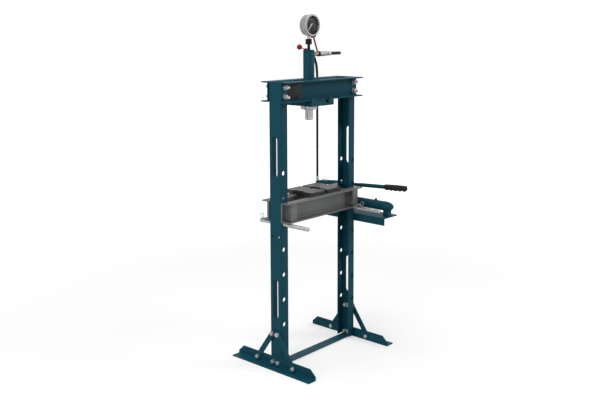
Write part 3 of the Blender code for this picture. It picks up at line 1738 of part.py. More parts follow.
def arbor_plate(name, left):
    """A thick plate with a wide notch on its left and a V notch on its right."""
    right = left + plate_width
    front = plate_set_back - plate_depth / 2
    rear = plate_set_back + plate_depth / 2
    outline = [
        (left, front),
        (right, front),
        (right, plate_set_back - vee_mouth / 2),
        (right - vee_depth, plate_set_back),
        (right, plate_set_back + vee_mouth / 2),
        (right, rear),
        (left, rear),
        (left, plate_set_back + notch_mouth / 2),
        (left + notch_depth, plate_set_back + notch_floor / 2),
        (left + notch_depth, plate_set_back - notch_floor / 2),
        (left, plate_set_back - notch_mouth / 2),
    ]
    bottom = bed_top + seat_gap
    return finish(extruded(name, [outline], "Z", bottom, bottom + plate_thickness), ground_steel)


plate_left_start = cylinder_offset + plate_left_offset - plate_width / 2
arbor_plate("arbor_plate_left", plate_left_start)
arbor_plate("arbor_plate_right", plate_left_start + plate_width + plate_gap)


# Bed pins and ring clips


def bed_pin(name, side, front, clip_place):
    """A round pin through both flanges of an upright, cross-drilled for its clip."""
    middle = (side * pin_place, front + pin_length / 2, pin_height)
    made = soften(rod(name, "Y", middle, pin_radius, pin_length, sides=hole_sides), pin_edge, 1)
    hole = clip_wire + clip_hole_gap
    place = (side * pin_place, clip_place, pin_height)
    length = 2 * (pin_radius + cut_overrun)
    cut(made, rod(f"{name}_cross_hole", "Z", place, hole, length, cutters, bolt_sides))
    return finish(made, zinc)


def ring_clip(name, side, clip_place):
    """A wire leg down through the pin, with a finger loop above it."""
    points = [(0, 0, -clip_tail), (0, 0, 0)]
    for index in range(clip_loop_points):
        angle = -math.pi / 2 + math.tau * index / clip_loop_points
        points.append((0, clip_loop * math.cos(angle), clip_loop_rise + clip_loop * math.sin(angle)))
    made = wire(name, points, clip_wire, sides_level=1)
    made.location = (side * pin_place, clip_place, pin_height)
    return finish(made, zinc)


bed_pin("bed_pin_left", -1, pin_left_front, clip_left_place)
bed_pin("bed_pin_right", 1, pin_right_front, clip_right_place)
ring_clip("ring_clip_left", -1, clip_left_place)
ring_clip("ring_clip_right", 1, clip_right_place)


def middle_of_base():
    """The point on the floor under the middle of the whole press, its hose left out."""
    bpy.context.view_layer.update()
    found = bpy.context.evaluated_depsgraph_get()
    lows = []
    highs = []
    for piece in press.objects:
        if piece.type == "EMPTY" or piece.name == "hose":
            continue
        seen = piece.evaluated_get(found)
        data = bpy.data.meshes.new_from_object(seen)
        points = np.array([piece.matrix_world @ vertex.co for vertex in data.vertices])
        bpy.data.meshes.remove(data)
        lows.append(points.min(axis=0))
        highs.append(points.max(axis=0))
    middle = (np.min(lows, axis=0) + np.max(highs, axis=0)) / 2
    return Vector((middle[0], middle[1], 0))


# The origin goes on the floor under the middle of the press
origin = middle_of_base()
for piece in list(press.objects) + list(cutters.objects):
    if piece.parent is None:
        piece.location -= origin
for piece in press.objects:
    if piece.type == "MESH":
        piece.data.shade_smooth()
        piece.data.set_sharp_from_angle(angle=math.radians(25))
bpy.context.view_layer.update()
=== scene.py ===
# A floor-standing hydraulic shop press with a separate hand pump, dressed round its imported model.
# Metres. X runs along the head, the gauge faces -Y, and +Z is up.
import json
import math

import bmesh
import bpy
import numpy as np
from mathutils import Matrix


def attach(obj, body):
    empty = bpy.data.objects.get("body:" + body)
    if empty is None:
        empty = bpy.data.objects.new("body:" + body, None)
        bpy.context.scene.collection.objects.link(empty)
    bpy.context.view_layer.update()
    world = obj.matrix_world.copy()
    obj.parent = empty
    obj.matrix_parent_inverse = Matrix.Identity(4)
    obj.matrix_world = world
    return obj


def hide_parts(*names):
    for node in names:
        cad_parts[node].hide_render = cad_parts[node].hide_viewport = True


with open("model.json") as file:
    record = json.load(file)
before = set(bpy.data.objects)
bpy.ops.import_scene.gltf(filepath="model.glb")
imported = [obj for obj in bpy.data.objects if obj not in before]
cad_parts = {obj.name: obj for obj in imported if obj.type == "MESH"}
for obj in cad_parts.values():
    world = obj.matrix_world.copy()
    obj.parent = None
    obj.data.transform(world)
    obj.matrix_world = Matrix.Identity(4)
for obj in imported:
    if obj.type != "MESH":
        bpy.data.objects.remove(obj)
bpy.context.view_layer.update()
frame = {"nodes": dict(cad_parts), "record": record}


# Camera. It stands in front of the press and to its left, near the gauge's height, and looks
# slightly down. Its lens and shift give the framing of a catalogue picture.
camera_place = np.array([-3.2199, -2.7416, 1.6935])
camera_azimuth = math.radians(47.869)
camera_drop = math.radians(7.053)
camera_roll = math.radians(-0.251)
forward = np.array(
    [
        math.sin(camera_azimuth) * math.cos(camera_drop),
        math.cos(camera_azimuth) * math.cos(camera_drop),
        -math.sin(camera_drop),
    ]
)
level_right = np.array([math.cos(camera_azimuth), -math.sin(camera_azimuth), 0.0])
level_up = np.cross(level_right, forward)
camera_right = level_right * math.cos(camera_roll) + level_up * math.sin(camera_roll)
camera_up = level_up * math.cos(camera_roll) - level_right * math.sin(camera_roll)
lens = bpy.data.cameras.new("camera")
lens.sensor_width = 36
lens.lens = 49.879
lens.shift_x = 0.00635
lens.shift_y = -0.11754
lens.clip_start = 0.05
camera = bpy.data.objects.new("camera", lens)
bpy.context.scene.collection.objects.link(camera)
turn = np.eye(4)
turn[:3] = np.stack([camera_right, camera_up, -forward, camera_place], 1)
camera.matrix_world = turn.T.tolist()
bpy.context.scene.camera = camera
bpy.context.scene.view_settings.view_transform = "Standard"


# Studio: a white floor that keeps the shadow, white surroundings, one broad lamp high above, one
# at the left and one in front to the right. The floor glows only for the rays that see it.
class Level:
    """A socket, for use in sums and products that add their Math nodes."""

    def __init__(self, tree, socket):
        self.tree = tree
        self.socket = socket

    def feeds(self, socket):
        self.tree.links.new(self.socket, socket)

    def maths(self, operation, first, second):
        node = self.tree.nodes.new("ShaderNodeMath")
        node.operation = operation
        for socket, value in zip(node.inputs, (first, second)):
            give(socket, value)
        return Level(self.tree, node.outputs[0])

    def __add__(self, other):
        return self.maths("ADD", self, other)

    def __radd__(self, other):
        return self.maths("ADD", other, self)

    def __sub__(self, other):
        return self.maths("SUBTRACT", self, other)

    def __rsub__(self, other):
        return self.maths("SUBTRACT", other, self)

    def __mul__(self, other):
        return self.maths("MULTIPLY", self, other)

    def __rmul__(self, other):
        return self.maths("MULTIPLY", other, self)


def give(socket, value):
    """A socket takes a link from a Level, or else a plain value."""
    if isinstance(value, Level):
        value.feeds(socket)
    else:
        socket.default_value = value


class Finish:
    """A node tree of a material or a world, and the one method that adds nodes to it."""

    def __init__(self, owner):
        owner.use_nodes = True
        self.owner = owner
        self.tree = owner.node_tree

    def node(self, kind, settings, values, output=0):
        """A node of this type: its settings are set first, then its sockets' values or links."""
        made = self.tree.nodes.new(kind)
        for name, setting in settings.items():
            setattr(made, name, setting)
        for name, value in values.items():
            give(made.inputs[name], value)
        return Level(self.tree, made.outputs[output])

    def seen(self):
        """1 for the rays that see a thing straight, in a mirror or through glass."""
        rays = [self.node("ShaderNodeLightPath", {}, {}, f"Is {ray} Ray") for ray in SEEING]
        either = self.node("ShaderNodeMath", {"operation": "MAXIMUM"}, {0: rays[0], 1: rays[1]})
        return self.node("ShaderNodeMath", {"operation": "MAXIMUM"}, {0: either, 1: rays[2]})

    def place(self):
        """Where the point lies on the object."""
        return self.node("ShaderNodeTexCoord", {}, {}, "Object")

    def noise(self, scale, detail=2.0, stretch=(1.0, 1.0, 1.0)):
        """Cloudy noise of this many waves a metre, drawn out along an axis by a small stretch."""
        place = self.node("ShaderNodeMapping", {}, {"Vector": self.place(), "Scale": stretch})
        values = {"Vector": place, "Scale": scale, "Detail": detail}
        return self.node("ShaderNodeTexNoise", {}, values, "Fac")

    def between(self, level, low, high):
        """0 below the low value, 1 above the high one, and smooth from one to the other."""
        values = {"Value": level, "From Min": low, "From Max": high}
        return self.node("ShaderNodeMapRange", {"interpolation_type": "SMOOTHSTEP"}, values)

    def edges(self, radius):
        """The normal rounded over the edges, and 1 where an edge stands out."""
        soft = self.node("ShaderNodeBevel", {"samples": 6}, {"Radius": radius})
        true = self.node("ShaderNodeNewGeometry", {}, {}, "Normal")
        dot = {"operation": "DOT_PRODUCT"}
        lean = self.node("ShaderNodeVectorMath", dot, {0: soft, 1: true}, "Value")
        return soft, self.between(1.0 - lean, 0.02, 0.2)

    def bump(self, height, distance, **under):
        """Fine relief, over another normal if there is one."""
        return self.node("ShaderNodeBump", {}, {"Height": height, "Distance": distance, **under})

    def mixed(self, mask, first, second):
        """The first colour where the mask is 0, and the second where it is 1."""
        first = first if isinstance(first, Level) else (*first, 1.0)
        second = second if isinstance(second, Level) else (*second, 1.0)
        return self.node("ShaderNodeMix", {"data_type": "RGBA"}, {0: mask, 6: first, 7: second}, 2)

    def looks(self, **sockets):
        """Sets or links the Principled shader's sockets, named with _ for a space."""
        shader = self.tree.nodes["Principled BSDF"]
        for name, value in sockets.items():
            give(shader.inputs[name.replace("_", " ")], value)
        return self.owner


SEEING = ("Camera", "Glossy", "Transmission")
floor_reach = 16.0
floor_mesh = bpy.data.meshes.new("floor")
floor_corners = np.array([[-1, -1, 0], [1, -1, 0], [1, 1, 0], [-1, 1, 0]]) * floor_reach
floor_mesh.from_pydata((floor_corners - [0, 0, 0.0004]).tolist(), [], [(0, 1, 2, 3)])
floor = bpy.data.objects.new("floor", floor_mesh)
bpy.context.scene.collection.objects.link(floor)
floor_paper = Finish(bpy.data.materials.new("studio_floor"))
floor_seen = floor_paper.seen()
length_of = {"operation": "LENGTH"}
away = floor_paper.node("ShaderNodeVectorMath", length_of, {0: floor_paper.place()}, "Value")
far = floor_paper.between(away, 1.6, 5.0)
glow = floor_paper.mixed(far, (0.52, 0.52, 0.52), (1.0, 1.0, 1.0))
floor_paper.looks(
    Base_Color=floor_paper.mixed(floor_seen, (0.5, 0.5, 0.5), (0.47, 0.47, 0.47)),
    Roughness=0.9,
    Specular_IOR_Level=0.0,
    Emission_Color=floor_paper.mixed(floor_seen, (0.0, 0.0, 0.0), glow),
    Emission_Strength=1.0,
)
floor_mesh.materials.append(floor_paper.owner)

ambient = 0.30
world = bpy.data.worlds.new("studio")
bpy.context.scene.world = world
sky = Finish(world)
backdrop = sky.tree.nodes["Background"]
give(backdrop.inputs["Color"], (1, 1, 1, 1))
give(backdrop.inputs["Strength"], sky.seen() * (1 - ambient) + ambient)


def lamp(name, place, target, width, power):
    """A square area lamp that looks at a point."""
    data = bpy.data.lights.new(name, "AREA")
    data.shape = "SQUARE"
    data.size = width
    data.energy = power
    made = bpy.data.objects.new(name, data)
    bpy.context.scene.collection.objects.link(made)
    back = np.array(place) - np.array(target)
    back = back / np.linalg.norm(back)
    side = np.cross((0.0, 1.0, 0.0) if abs(back[2]) > 0.9 else (0.0, 0.0, 1.0), back)
    side = side / np.linalg.norm(side)
    stand = np.eye(4)
    stand[:3] = np.stack([side, np.cross(back, side), back, place], 1)
    made.matrix_world = stand.T.tolist()


lamp("lamp_above", (-0.9, 0.6, 7.0), (0, 0, 0.8), 4.5, 260)
lamp("lamp_left", (-6.0, -1.0, 3.0), (0, 0, 0.9), 3.5, 160)
lamp("lamp_front", (4.0, -5.0, 4.4), (0, 0, 0.9), 3.0, 210)


# Hose: a rubber hose with a smooth black cover, from the valve's boss on the cylinder down to the
# hand pump. It is crimped into a blackened ferrule at the top and a plated fitting at the pump.
record_bodies = frame["record"]["behaviour"]["bodies"]
body_of_node = {node: body for body, nodes in record_bodies.items() for node in nodes}


def at(x, y, z):
    """A point given from the middle of the uprights, in the model's own coordinates."""
    return np.array([x - 0.034, y + 0.01936, z])


def grid(points, closed=False, first_cap=False, last_cap=False):
    """Faces between neighbouring points: round the columns and, if closed, round the rows too."""
    rows, columns = points.shape[:2]
    index = np.arange(rows * columns).reshape(rows, columns)
    low = index if closed else index[:-1]
    high = np.roll(index, -1, 0) if closed else index[1:]
    quads = np.stack([low, np.roll(low, -1, 1), np.roll(high, -1, 1), high], -1)
    faces = quads.reshape(-1, 4).tolist()
    if first_cap:
        faces.append(index[0][::-1].tolist())
    if last_cap:
        faces.append(index[-1].tolist())
    return points.reshape(-1, 3), faces


def piece(name, parts, finish, node=None, body=None):
    """Parts joined into one mesh object, which rides on a body and may stand for a node."""
    starts = np.cumsum([0] + [len(points) for points, _ in parts])
    faces = [[start + i for i in face] for start, (_, own) in zip(starts, parts) for face in own]
    mesh = bpy.data.meshes.new(name)
    mesh.from_pydata(np.concatenate([points for points, _ in parts]).tolist(), [], faces)
    shape = bmesh.new()
    shape.from_mesh(mesh)
    bmesh.ops.remove_doubles(shape, verts=shape.verts, dist=0.000002)
    bmesh.ops.dissolve_degenerate(shape, edges=shape.edges, dist=0.000001)
    bmesh.ops.recalc_face_normals(shape, faces=shape.faces)
    shape.to_mesh(mesh)
    shape.free()
    mesh.shade_smooth()
    mesh.set_sharp_from_angle(angle=math.radians(38))
    mesh.materials.append(finish)
    made = bpy.data.objects.new(name, mesh)
    bpy.context.scene.collection.objects.link(made)
    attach(made, body or body_of_node[node])
    if node:
        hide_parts(node)
    return made


def along(points, place, heading):
    """Points drawn about +Z, moved to a place with +Z turned to a heading."""
    w = np.array(heading, float) / np.linalg.norm(heading)
    guide = np.array([0.0, 0.0, 1.0]) if abs(w[2]) < 0.9 else np.array([0.0, 1.0, 0.0])
    u = np.cross(guide, w)
    u = u / np.linalg.norm(u)
    v = np.cross(w, u)
    return np.asarray(place) + points[..., :1] * u + points[..., 1:2] * v + points[..., 2:] * w


def eased(profile, radius, steps=3, closed=False):
    """A profile with each corner a quadratic curve that starts and ends a radius from it."""
    corner = np.array(profile, float)
    before = np.roll(corner, 1, 0) - corner
    after = np.roll(corner, -1, 0) - corner
    near = np.linalg.norm(before, axis=1, keepdims=True)
    off = np.linalg.norm(after, axis=1, keepdims=True)
    start = corner + before / near * np.minimum(radius, near * 0.45)
    end = corner + after / off * np.minimum(radius, off * 0.45)
    t = np.linspace(0, 1, steps + 1)[None, :, None]
    curve = (1 - t) ** 2 * start[:, None] + 2 * t * (1 - t) * corner[:, None] + t**2 * end[:, None]
    if closed:
        return curve.reshape(-1, 2)
    return np.concatenate([corner[:1], curve[1:-1].reshape(-1, 2), corner[-1:]])


def spun(radii, heights, place, heading=(0, 0, 1), closed=False):
    """Rows of radii, one for each height and angle, carried round an axis."""
    angle = np.linspace(0, math.tau, radii.shape[1], endpoint=False)[None]
    lifts = np.broadcast_to(np.asarray(heights, float).reshape(len(radii), -1), radii.shape)
    points = np.stack([radii * np.cos(angle), radii * np.sin(angle), lifts], -1)
    return grid(along(points, place, heading), closed=closed)


def turned(profile, place, heading=(0, 0, 1), closed=False, ease=0.0, columns=64):
    """A turned shape: a profile of radii and heights carried round an axis."""
    outline = eased(profile, ease, closed=closed) if ease else np.array(profile, float)
    radii = np.repeat(outline[:, :1], columns, axis=1)
    return spun(radii, outline[:, 1], place, heading, closed)


def tube(path, radius, guide, sides=16, closed=False, dome=True):
    """A round bar: a circle carried along a path and square to it, with domed or flat ends."""
    path = np.array(path, float)
    run = np.roll(path, -1, 0) - np.roll(path, 1, 0) if closed else np.gradient(path, axis=0)
    run = run / np.linalg.norm(run, axis=1, keepdims=True)
    radii = np.broadcast_to(np.asarray(radius, float), len(path))
    if dome and not closed:
        bow = np.linspace(0, math.pi / 2, 5)[:-1]
        head = path[:1] - run[:1] * (radii[0] * np.cos(bow))[:, None]
        tail = path[-1:] + run[-1:] * (radii[-1] * np.cos(bow[::-1]))[:, None]
        path = np.concatenate([head, path, tail])
        run = np.concatenate([np.repeat(run[:1], 4, 0), run, np.repeat(run[-1:], 4, 0)])
        radii = np.concatenate([radii[0] * np.sin(bow), radii, radii[-1] * np.sin(bow[::-1])])
    u = np.cross(np.array(guide, float), run)
    u = u / np.linalg.norm(u, axis=1, keepdims=True)
    v = np.cross(run, u)
    angle = np.linspace(0, math.tau, sides, endpoint=False)[None, :, None]
    ring = np.cos(angle) * u[:, None] + np.sin(angle) * v[:, None]
    flat = not dome and not closed
    points = path[:, None] + radii[:, None, None] * ring
    return grid(points, closed=closed, first_cap=flat, last_cap=flat)


def smooth_route(knots, steps):
    """A curve through the knots: between two of them each point is a cubic of the nearest four."""
    ends = np.concatenate([2 * knots[:1] - knots[1:2], knots, 2 * knots[-1:] - knots[-2:-1]])
    before, here, after, beyond = (ends[i : len(ends) - 3 + i, None] for i in range(4))
    t = (np.arange(steps) / steps)[None, :, None]
    swing = (-before + 3 * here - 3 * after + beyond) * t**3
    bend = (2 * before - 5 * here + 4 * after - beyond) * t**2
    route = (swing + bend + (after - before) * t + 2 * here) / 2
    return np.concatenate([route.reshape(-1, 3), knots[-1:]])


def hexagon(across, low, high, place, heading, columns=96):
    """A hexagon: half its width over the cosine of the angle from a flat, coned at both ends."""
    angle = np.linspace(0, math.tau, columns, endpoint=False)
    flat = across / 2 / np.cos((angle + math.pi / 6) % (math.pi / 3) - math.pi / 6)
    cut = np.linspace(0, across * 0.08, 5)
    heights = np.concatenate([low + cut, high - cut[::-1]])
    depth = np.minimum(heights - low, high - heights)[:, None]
    radii = np.minimum(flat[None], across * 0.48 + depth * 1.9)
    radii = np.concatenate([0 * radii[:1], radii, 0 * radii[:1]])
    return spun(radii, np.concatenate([[low], heights, [high]]), place, heading)


def crimped(radius, low, high, depth, pitch, place, heading):
    """A ferrule: its radius drops by the depth in rings a pitch apart, and its ends are eased."""
    run = np.linspace(low, high, 70)
    inner = np.clip(np.minimum(run - low, high - run) / (2 * depth), 0, 1)
    rings = np.clip(3 * np.sin((run - low) * math.tau / pitch), 0, 1) * (inner >= 1)
    radii = radius - depth * (1 - inner) - depth * rings
    profile = np.concatenate([[(0, low)], np.stack([radii, run], 1), [(0, high)]])
    return turned(profile, place, heading, columns=48)


def metal(name, colour, dark, roughness, spread=0.1, scale=40.0, metallic=1.0, shine=0.5):
    """A bare or plated metal, blotchy in tone and in gloss."""
    made = Finish(bpy.data.materials.new(name))
    blotch = made.between(made.noise(scale, 4.0), 0.3, 0.7)
    fine = made.noise(scale * 16, 2.0)
    return made.looks(
        Base_Color=made.mixed(blotch, dark, colour),
        Metallic=metallic,
        Specular_IOR_Level=shine,
        Roughness=fine * spread + (roughness - spread / 2),
        Normal=made.bump(fine, 0.00002),
    )


def plain(name, dark, pale, roughness, scale=300.0, spread=0.1, **more):
    """A dull material whose tone and roughness follow one noise."""
    made = Finish(bpy.data.materials.new(name))
    tone = made.noise(scale)
    return made.looks(
        Base_Color=made.mixed(tone, dark, pale), Roughness=tone * spread + roughness, **more
    )


zinc_plate = metal("zinc_plate", (0.44, 0.455, 0.455), (0.32, 0.33, 0.33), 0.44)
oxide_pale, oxide_dark = (0.014, 0.014, 0.015), (0.007, 0.007, 0.008)
black_oxide = metal("black_oxide", oxide_pale, oxide_dark, 0.38, 0.12, 60.0, 0.3, 0.15)
hose_boss_face = at(0.012, 0.006, 1.537)
hose_bend = at(0.066, 0.040, 1.503)
hose_heading = (hose_bend - hose_boss_face) / np.linalg.norm(hose_bend - hose_boss_face)
hose_start = hose_boss_face + hose_heading * 0.016
hose_knots = np.array(
    [
        hose_start,
        hose_bend,
        at(0.102, 0.067, 1.476),
        at(0.140, 0.0968, 1.440),
        at(0.178, 0.1293, 1.390),
        at(0.214, 0.1601, 1.325),
        at(0.250, 0.1910, 1.250),
        at(0.285, 0.2209, 1.165),
        at(0.316, 0.2475, 1.075),
        at(0.338, 0.2663, 0.985),
        at(0.348, 0.2749, 0.905),
        at(0.350, 0.2766, 0.8503),
    ]
)
hose_cover = Finish(bpy.data.materials.new("hose_cover"))
hose_grain = hose_cover.noise(900.0, 2.0)
hose_dust = hose_cover.between(hose_cover.noise(30.0, 3.0), 0.35, 0.8)
hose_cover.looks(
    Base_Color=hose_cover.mixed(hose_dust, (0.008, 0.009, 0.009), (0.017, 0.018, 0.018)),
    Roughness=hose_grain * 0.1 + 0.45,
    Specular_IOR_Level=0.15,
    Normal=hose_cover.bump(hose_grain, 0.00004),
)
hose = piece(
    "hose_rubber",
    [tube(smooth_route(hose_knots, 18), 0.0065, (0.65, -0.76, 0.0), sides=24, dome=False)],
    hose_cover.owner,
    "hose",
)
piece(
    "hose_ferrule_black",
    [crimped(0.0080, 0.0003, 0.0157, 0.0006, 0.0042, hose_boss_face, hose_heading)],
    black_oxide,
    "hose_fitting_cylinder",
)
hose_end = at(0.350, 0.2766, 0)
piece(
    "hose_fitting_zinc",
    [
        crimped(0.0080, 0.8318, 0.8500, 0.0006, 0.0042, hose_end, (0, 0, 1)),
        hexagon(0.018, 0.822, 0.832, hose_end, (0, 0, 1)),
    ],
    zinc_plate,
    "hose_fitting_pump",
)


# Uprights, feet, struts and tie bar: bent and rolled steel, sprayed with a dark teal enamel. It is
# glossy with a faint orange peel, uneven in tone, and rubbed paler here and there along the edges.
def enamel(name, colour, worn, roughness=0.48, shine=0.09, edge=0.0016):
    """Sprayed enamel over steel, its edges rounded by the paint and worn where they stand out."""
    made = Finish(bpy.data.materials.new(name))
    soft, worn_edge = made.edges(edge)
    rub = worn_edge * made.between(made.noise(60.0, 4.0), 0.45, 0.62)
    tone = made.between(made.noise(5.0, 4.0), 0.3, 0.75)
    fleck = made.between(made.noise(90.0, 3.0), 0.35, 0.8)
    deep = tuple(0.84 * value for value in colour)
    peel = made.noise(420.0, 1.0) * 0.6 + made.noise(140.0, 2.0) * 0.4
    return made.looks(
        Base_Color=made.mixed(rub * 0.45, made.mixed(tone, deep, colour), worn),
        Roughness=fleck * 0.08 + (roughness - 0.04),
        Specular_IOR_Level=shine,
        Normal=made.bump(peel, 0.00003, Normal=soft),
    )


def kept(finish, *nodes):
    """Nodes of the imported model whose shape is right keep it, and take a finish."""
    for node in nodes:
        mesh = frame["nodes"][node].data
        mesh.materials.clear()
        mesh.materials.append(finish)


blue_enamel = enamel("blue_enamel", (0.005, 0.064, 0.094), (0.03, 0.11, 0.14))
kept(blue_enamel, "upright_left", "upright_right", "foot_left", "foot_right", "tie_bar")
kept(blue_enamel, "strut_left_front", "strut_left_rear", "strut_right_front", "strut_right_rear")


# Frame bolts: zinc-plated hexagon bolts with stamped washers, nuts inside the webs, spacers under
# the struts, and a drilled clamp plate behind each pair.
def thread(radius, pitch, low, high, place, heading, columns=32):
    """A screw thread: the radius dips once a pitch along the axis and one pitch later each turn."""
    heights = np.linspace(low, high, max(8, int(abs(high - low) / pitch * 6)))
    angle = np.linspace(0, math.tau, columns, endpoint=False)
    wave = 0.5 + 0.5 * np.cos(math.tau * (heights[:, None] / pitch - angle[None] / math.tau))
    taper = np.clip((high - heights) / pitch, 0, 1)[:, None]
    radii = radius - pitch * 0.45 * np.maximum(wave, 0.8 * (1 - taper))
    radii = np.concatenate([radii, 0 * radii[:1]])
    return spun(radii, np.append(heights, high), place, heading)


def slab(low, high, edge, corner, axis=2):
    """A rounded rectangle carried along an axis and drawn in by the edge at both ends."""
    low, high = np.minimum(low, high), np.maximum(low, high)
    order = [(axis + 1) % 3, (axis + 2) % 3, axis]
    half = ((high - low) / 2)[order]
    quarter = np.linspace(0, math.pi / 2, 5)
    angle = np.concatenate([quarter + turn * math.pi / 2 for turn in range(4)])
    step = np.linspace(0, math.pi / 2, 4)
    inset = np.concatenate([edge * (1 - np.sin(step)), edge * (1 - np.sin(step[::-1]))])[:, None]
    rise_in = edge * (1 - np.cos(step))
    lift = np.concatenate([rise_in - half[2], half[2] - rise_in[::-1]])
    across = np.repeat([1, -1, -1, 1], 5) * (half[0] - corner) + (corner - inset) * np.cos(angle)
    rise = np.repeat([1, 1, -1, -1], 5) * (half[1] - corner) + (corner - inset) * np.sin(angle)
    points = np.empty((*across.shape, 3))
    points[..., order] = np.stack([across, rise, np.broadcast_to(lift[:, None], across.shape)], -1)
    return grid(points + (low + high) / 2, first_cap=True, last_cap=True)


def disc(inner, outer, low, high, place, heading, ease=0.0005):
    """A washer or a collar: a ring of square section with eased corners."""
    ring = [(outer, high), (outer, low), (inner, low), (inner, high)]
    return turned(ring, place, heading, closed=True, ease=ease, columns=48)


web_inner = 0.2837
leg_outer = 0.2953
strut_outer = 0.3006
bolt_radius = 0.006
washer_radius = 0.012
head_across = 0.019


def side_bolt(side, y, z, outer, nut_face):
    """A bolt along X: its head and washer outside, its nut and thread end inside."""
    place = at(0, y, z)
    head_start = outer + 0.0028
    shank = [(0, head_start), (bolt_radius, head_start), (bolt_radius, nut_face), (0, nut_face)]
    out, back = (side, 0, 0), (-side, 0, 0)
    return [
        disc(0.0058, washer_radius, outer + 0.0003, head_start, place, out),
        hexagon(head_across, head_start - 0.0002, head_start + 0.0075, place, out),
        turned(shank, place, out, columns=24),
        hexagon(head_across, -nut_face, 0.010 - nut_face, place, back),
        thread(bolt_radius, 0.00175, 0.0098 - nut_face, 0.013 - nut_face, place, back),
    ]


def bolt_pair(node, side, z, outer, plate_face, spacers):
    """Two bolts through one clamp plate inside the web, with spacers where a strut leaves a gap."""
    low = at(side * plate_face, -0.030, z - 0.011)
    high = at(side * (plate_face - 0.004), 0.030, z + 0.011)
    parts = [slab(low, high, 0.0008, 0.003, axis=0)]
    for y in (-0.017, 0.017):
        parts += side_bolt(side, y, z, outer, plate_face - 0.0043)
        if spacers:
            out = (side, 0, 0)
            parts.append(disc(0.0061, washer_radius, 0.2903, leg_outer, at(0, y, z), out, 0.0004))
    piece(node + "_zinc", parts, zinc_plate, node)


for label, side in (("left", -1), ("right", 1)):
    bolt_pair(f"strut_bolts_{label}", side, 0.171, strut_outer, web_inner, True)
    bolt_pair(f"tie_bolts_{label}", side, 0.022, leg_outer, 0.2784, False)
    for end, y in (("front", -0.122), ("rear", 0.122)):
        node = f"foot_bolt_{label}_{end}"
        foot_bolt = side_bolt(side, y, 0.022, strut_outer, 0.290)
        piece(node + "_zinc", foot_bolt, zinc_plate, node)


# Head: two rolled channels back to back over the uprights, painted like them, and clamped by four
# lengths of plated threaded rod with a washer and a nut at each end. A bare plate is riveted on.
kept(blue_enamel, "head_channel_front", "head_channel_rear")
rod_half = 0.062
for label, side in (("left", -1), ("right", 1)):
    for level, z in (("lower", 1.356), ("upper", 1.404)):
        node = f"head_rod_{label}_{level}"
        rod_place = at(side * 0.265, 0, z)
        rod_profile = [(0, -rod_half), (0.0069, -rod_half), (0.0069, rod_half), (0, rod_half)]
        parts = [turned(rod_profile, rod_place, (0, 1, 0))]
        for facing in ((0, -1, 0), (0, 1, 0)):
            parts.append(disc(0.0068, 0.014, 0.0466, 0.0491, rod_place, facing))
            parts.append(hexagon(0.022, 0.0489, 0.0621, rod_place, facing))
            parts.append(thread(0.007, 0.002, 0.0618, 0.0751, rod_place, facing))
        piece(node + "_zinc", parts, zinc_plate, node)

plate_paint = Finish(bpy.data.materials.new("bare_plate_black"))
plate_scuff = plate_paint.between(plate_paint.noise(70.0, 4.0), 0.35, 0.75)
plate_paint.looks(
    Base_Color=plate_paint.mixed(plate_scuff, (0.006, 0.006, 0.005), (0.014, 0.014, 0.011)),
    Roughness=plate_scuff * 0.12 + 0.40,
    Specular_IOR_Level=0.2,
    Normal=plate_paint.bump(plate_scuff, 0.00003),
)
plate_low = np.array([-0.240, -0.0472, 1.342])
plate_high = np.array([-0.153, -0.0464, 1.414])
piece(
    "bare_plate",
    [slab(at(*plate_low), at(*plate_high), 0.0003, 0.004, axis=1)],
    plate_paint.owner,
    body="frame",
)
rivet_profile = [(0, 0.0018), (0.0009, 0.0016), (0.0017, 0.0010), (0.0021, 0), (0, 0)]
rivets = [
    turned(rivet_profile, at(x, plate_low[1], z), (0, -1, 0), columns=24)
    for x in (plate_low[0] + 0.005, plate_high[0] - 0.005)
    for z in (plate_low[2] + 0.005, plate_high[2] - 0.005)
]
piece("bare_plate_rivets", rivets, zinc_plate, body="frame")


# Carriage: a welded frame hooked over the lower flanges of the head, painted before it is fitted.
# The cylinder hangs in its plate.
kept(blue_enamel, "carriage")


# Cylinder: a drawn steel tube with a welded collar, painted, set in the carriage and held there by
# a round slotted nut. Its cap is a turned disc with a headed post for the ball lever.
cylinder_x = -0.037
cylinder_place = at(cylinder_x, 0, 0)
cylinder_profile = [
    (0.0285, 1.568),
    (0.0285, 1.3223),
    (0.0350, 1.3223),
    (0.0350, 1.3123),
    (0.0270, 1.3123),
    (0.0270, 1.277),
    (0.0213, 1.277),
    (0.0213, 1.300),
    (0.0230, 1.300),
    (0.0230, 1.568),
]
weld_turn = np.linspace(0, math.tau, 192, endpoint=False)[None]
weld_round = np.linspace(0, math.tau, 8, endpoint=False)[:, None]
weld_bulge = 0.0022 * (1 + 0.10 * np.sin(weld_turn * 48))
piece(
    "cylinder_body_paint",
    [
        turned(cylinder_profile, cylinder_place, closed=True, ease=0.0008, columns=96),
        spun(
            0.0285 + weld_bulge * np.cos(weld_round),
            1.3225 + weld_bulge * np.sin(weld_round),
            cylinder_place,
            closed=True,
        ),
    ],
    blue_enamel,
    "cylinder_body",
)
cap_profile = [
    (0.0285, 1.578),
    (0.0285, 1.5683),
    (0.0227, 1.5683),
    (0.0227, 1.5628),
    (0.0078, 1.5628),
    (0.0078, 1.578),
]
post_place = at(cylinder_x - 0.023, 0, 0)
post_profile = [
    (0, 1.5861),
    (0.0062, 1.5861),
    (0.0062, 1.5836),
    (0.004, 1.5836),
    (0.004, 1.577),
    (0, 1.577),
]
piece(
    "cylinder_cap_paint",
    [
        turned(cap_profile, cylinder_place, closed=True, ease=0.0009, columns=96),
        turned(post_profile, post_place, ease=0.0005, columns=32),
    ],
    blue_enamel,
    "cylinder_cap",
)
nut_radius = 0.042
slot_depth = 0.004
slot_half_width = 0.004
slotted_profile = [(nut_radius, 1.3017), (nut_radius, 1.2797), (0.0273, 1.2797), (0.0273, 1.3017)]
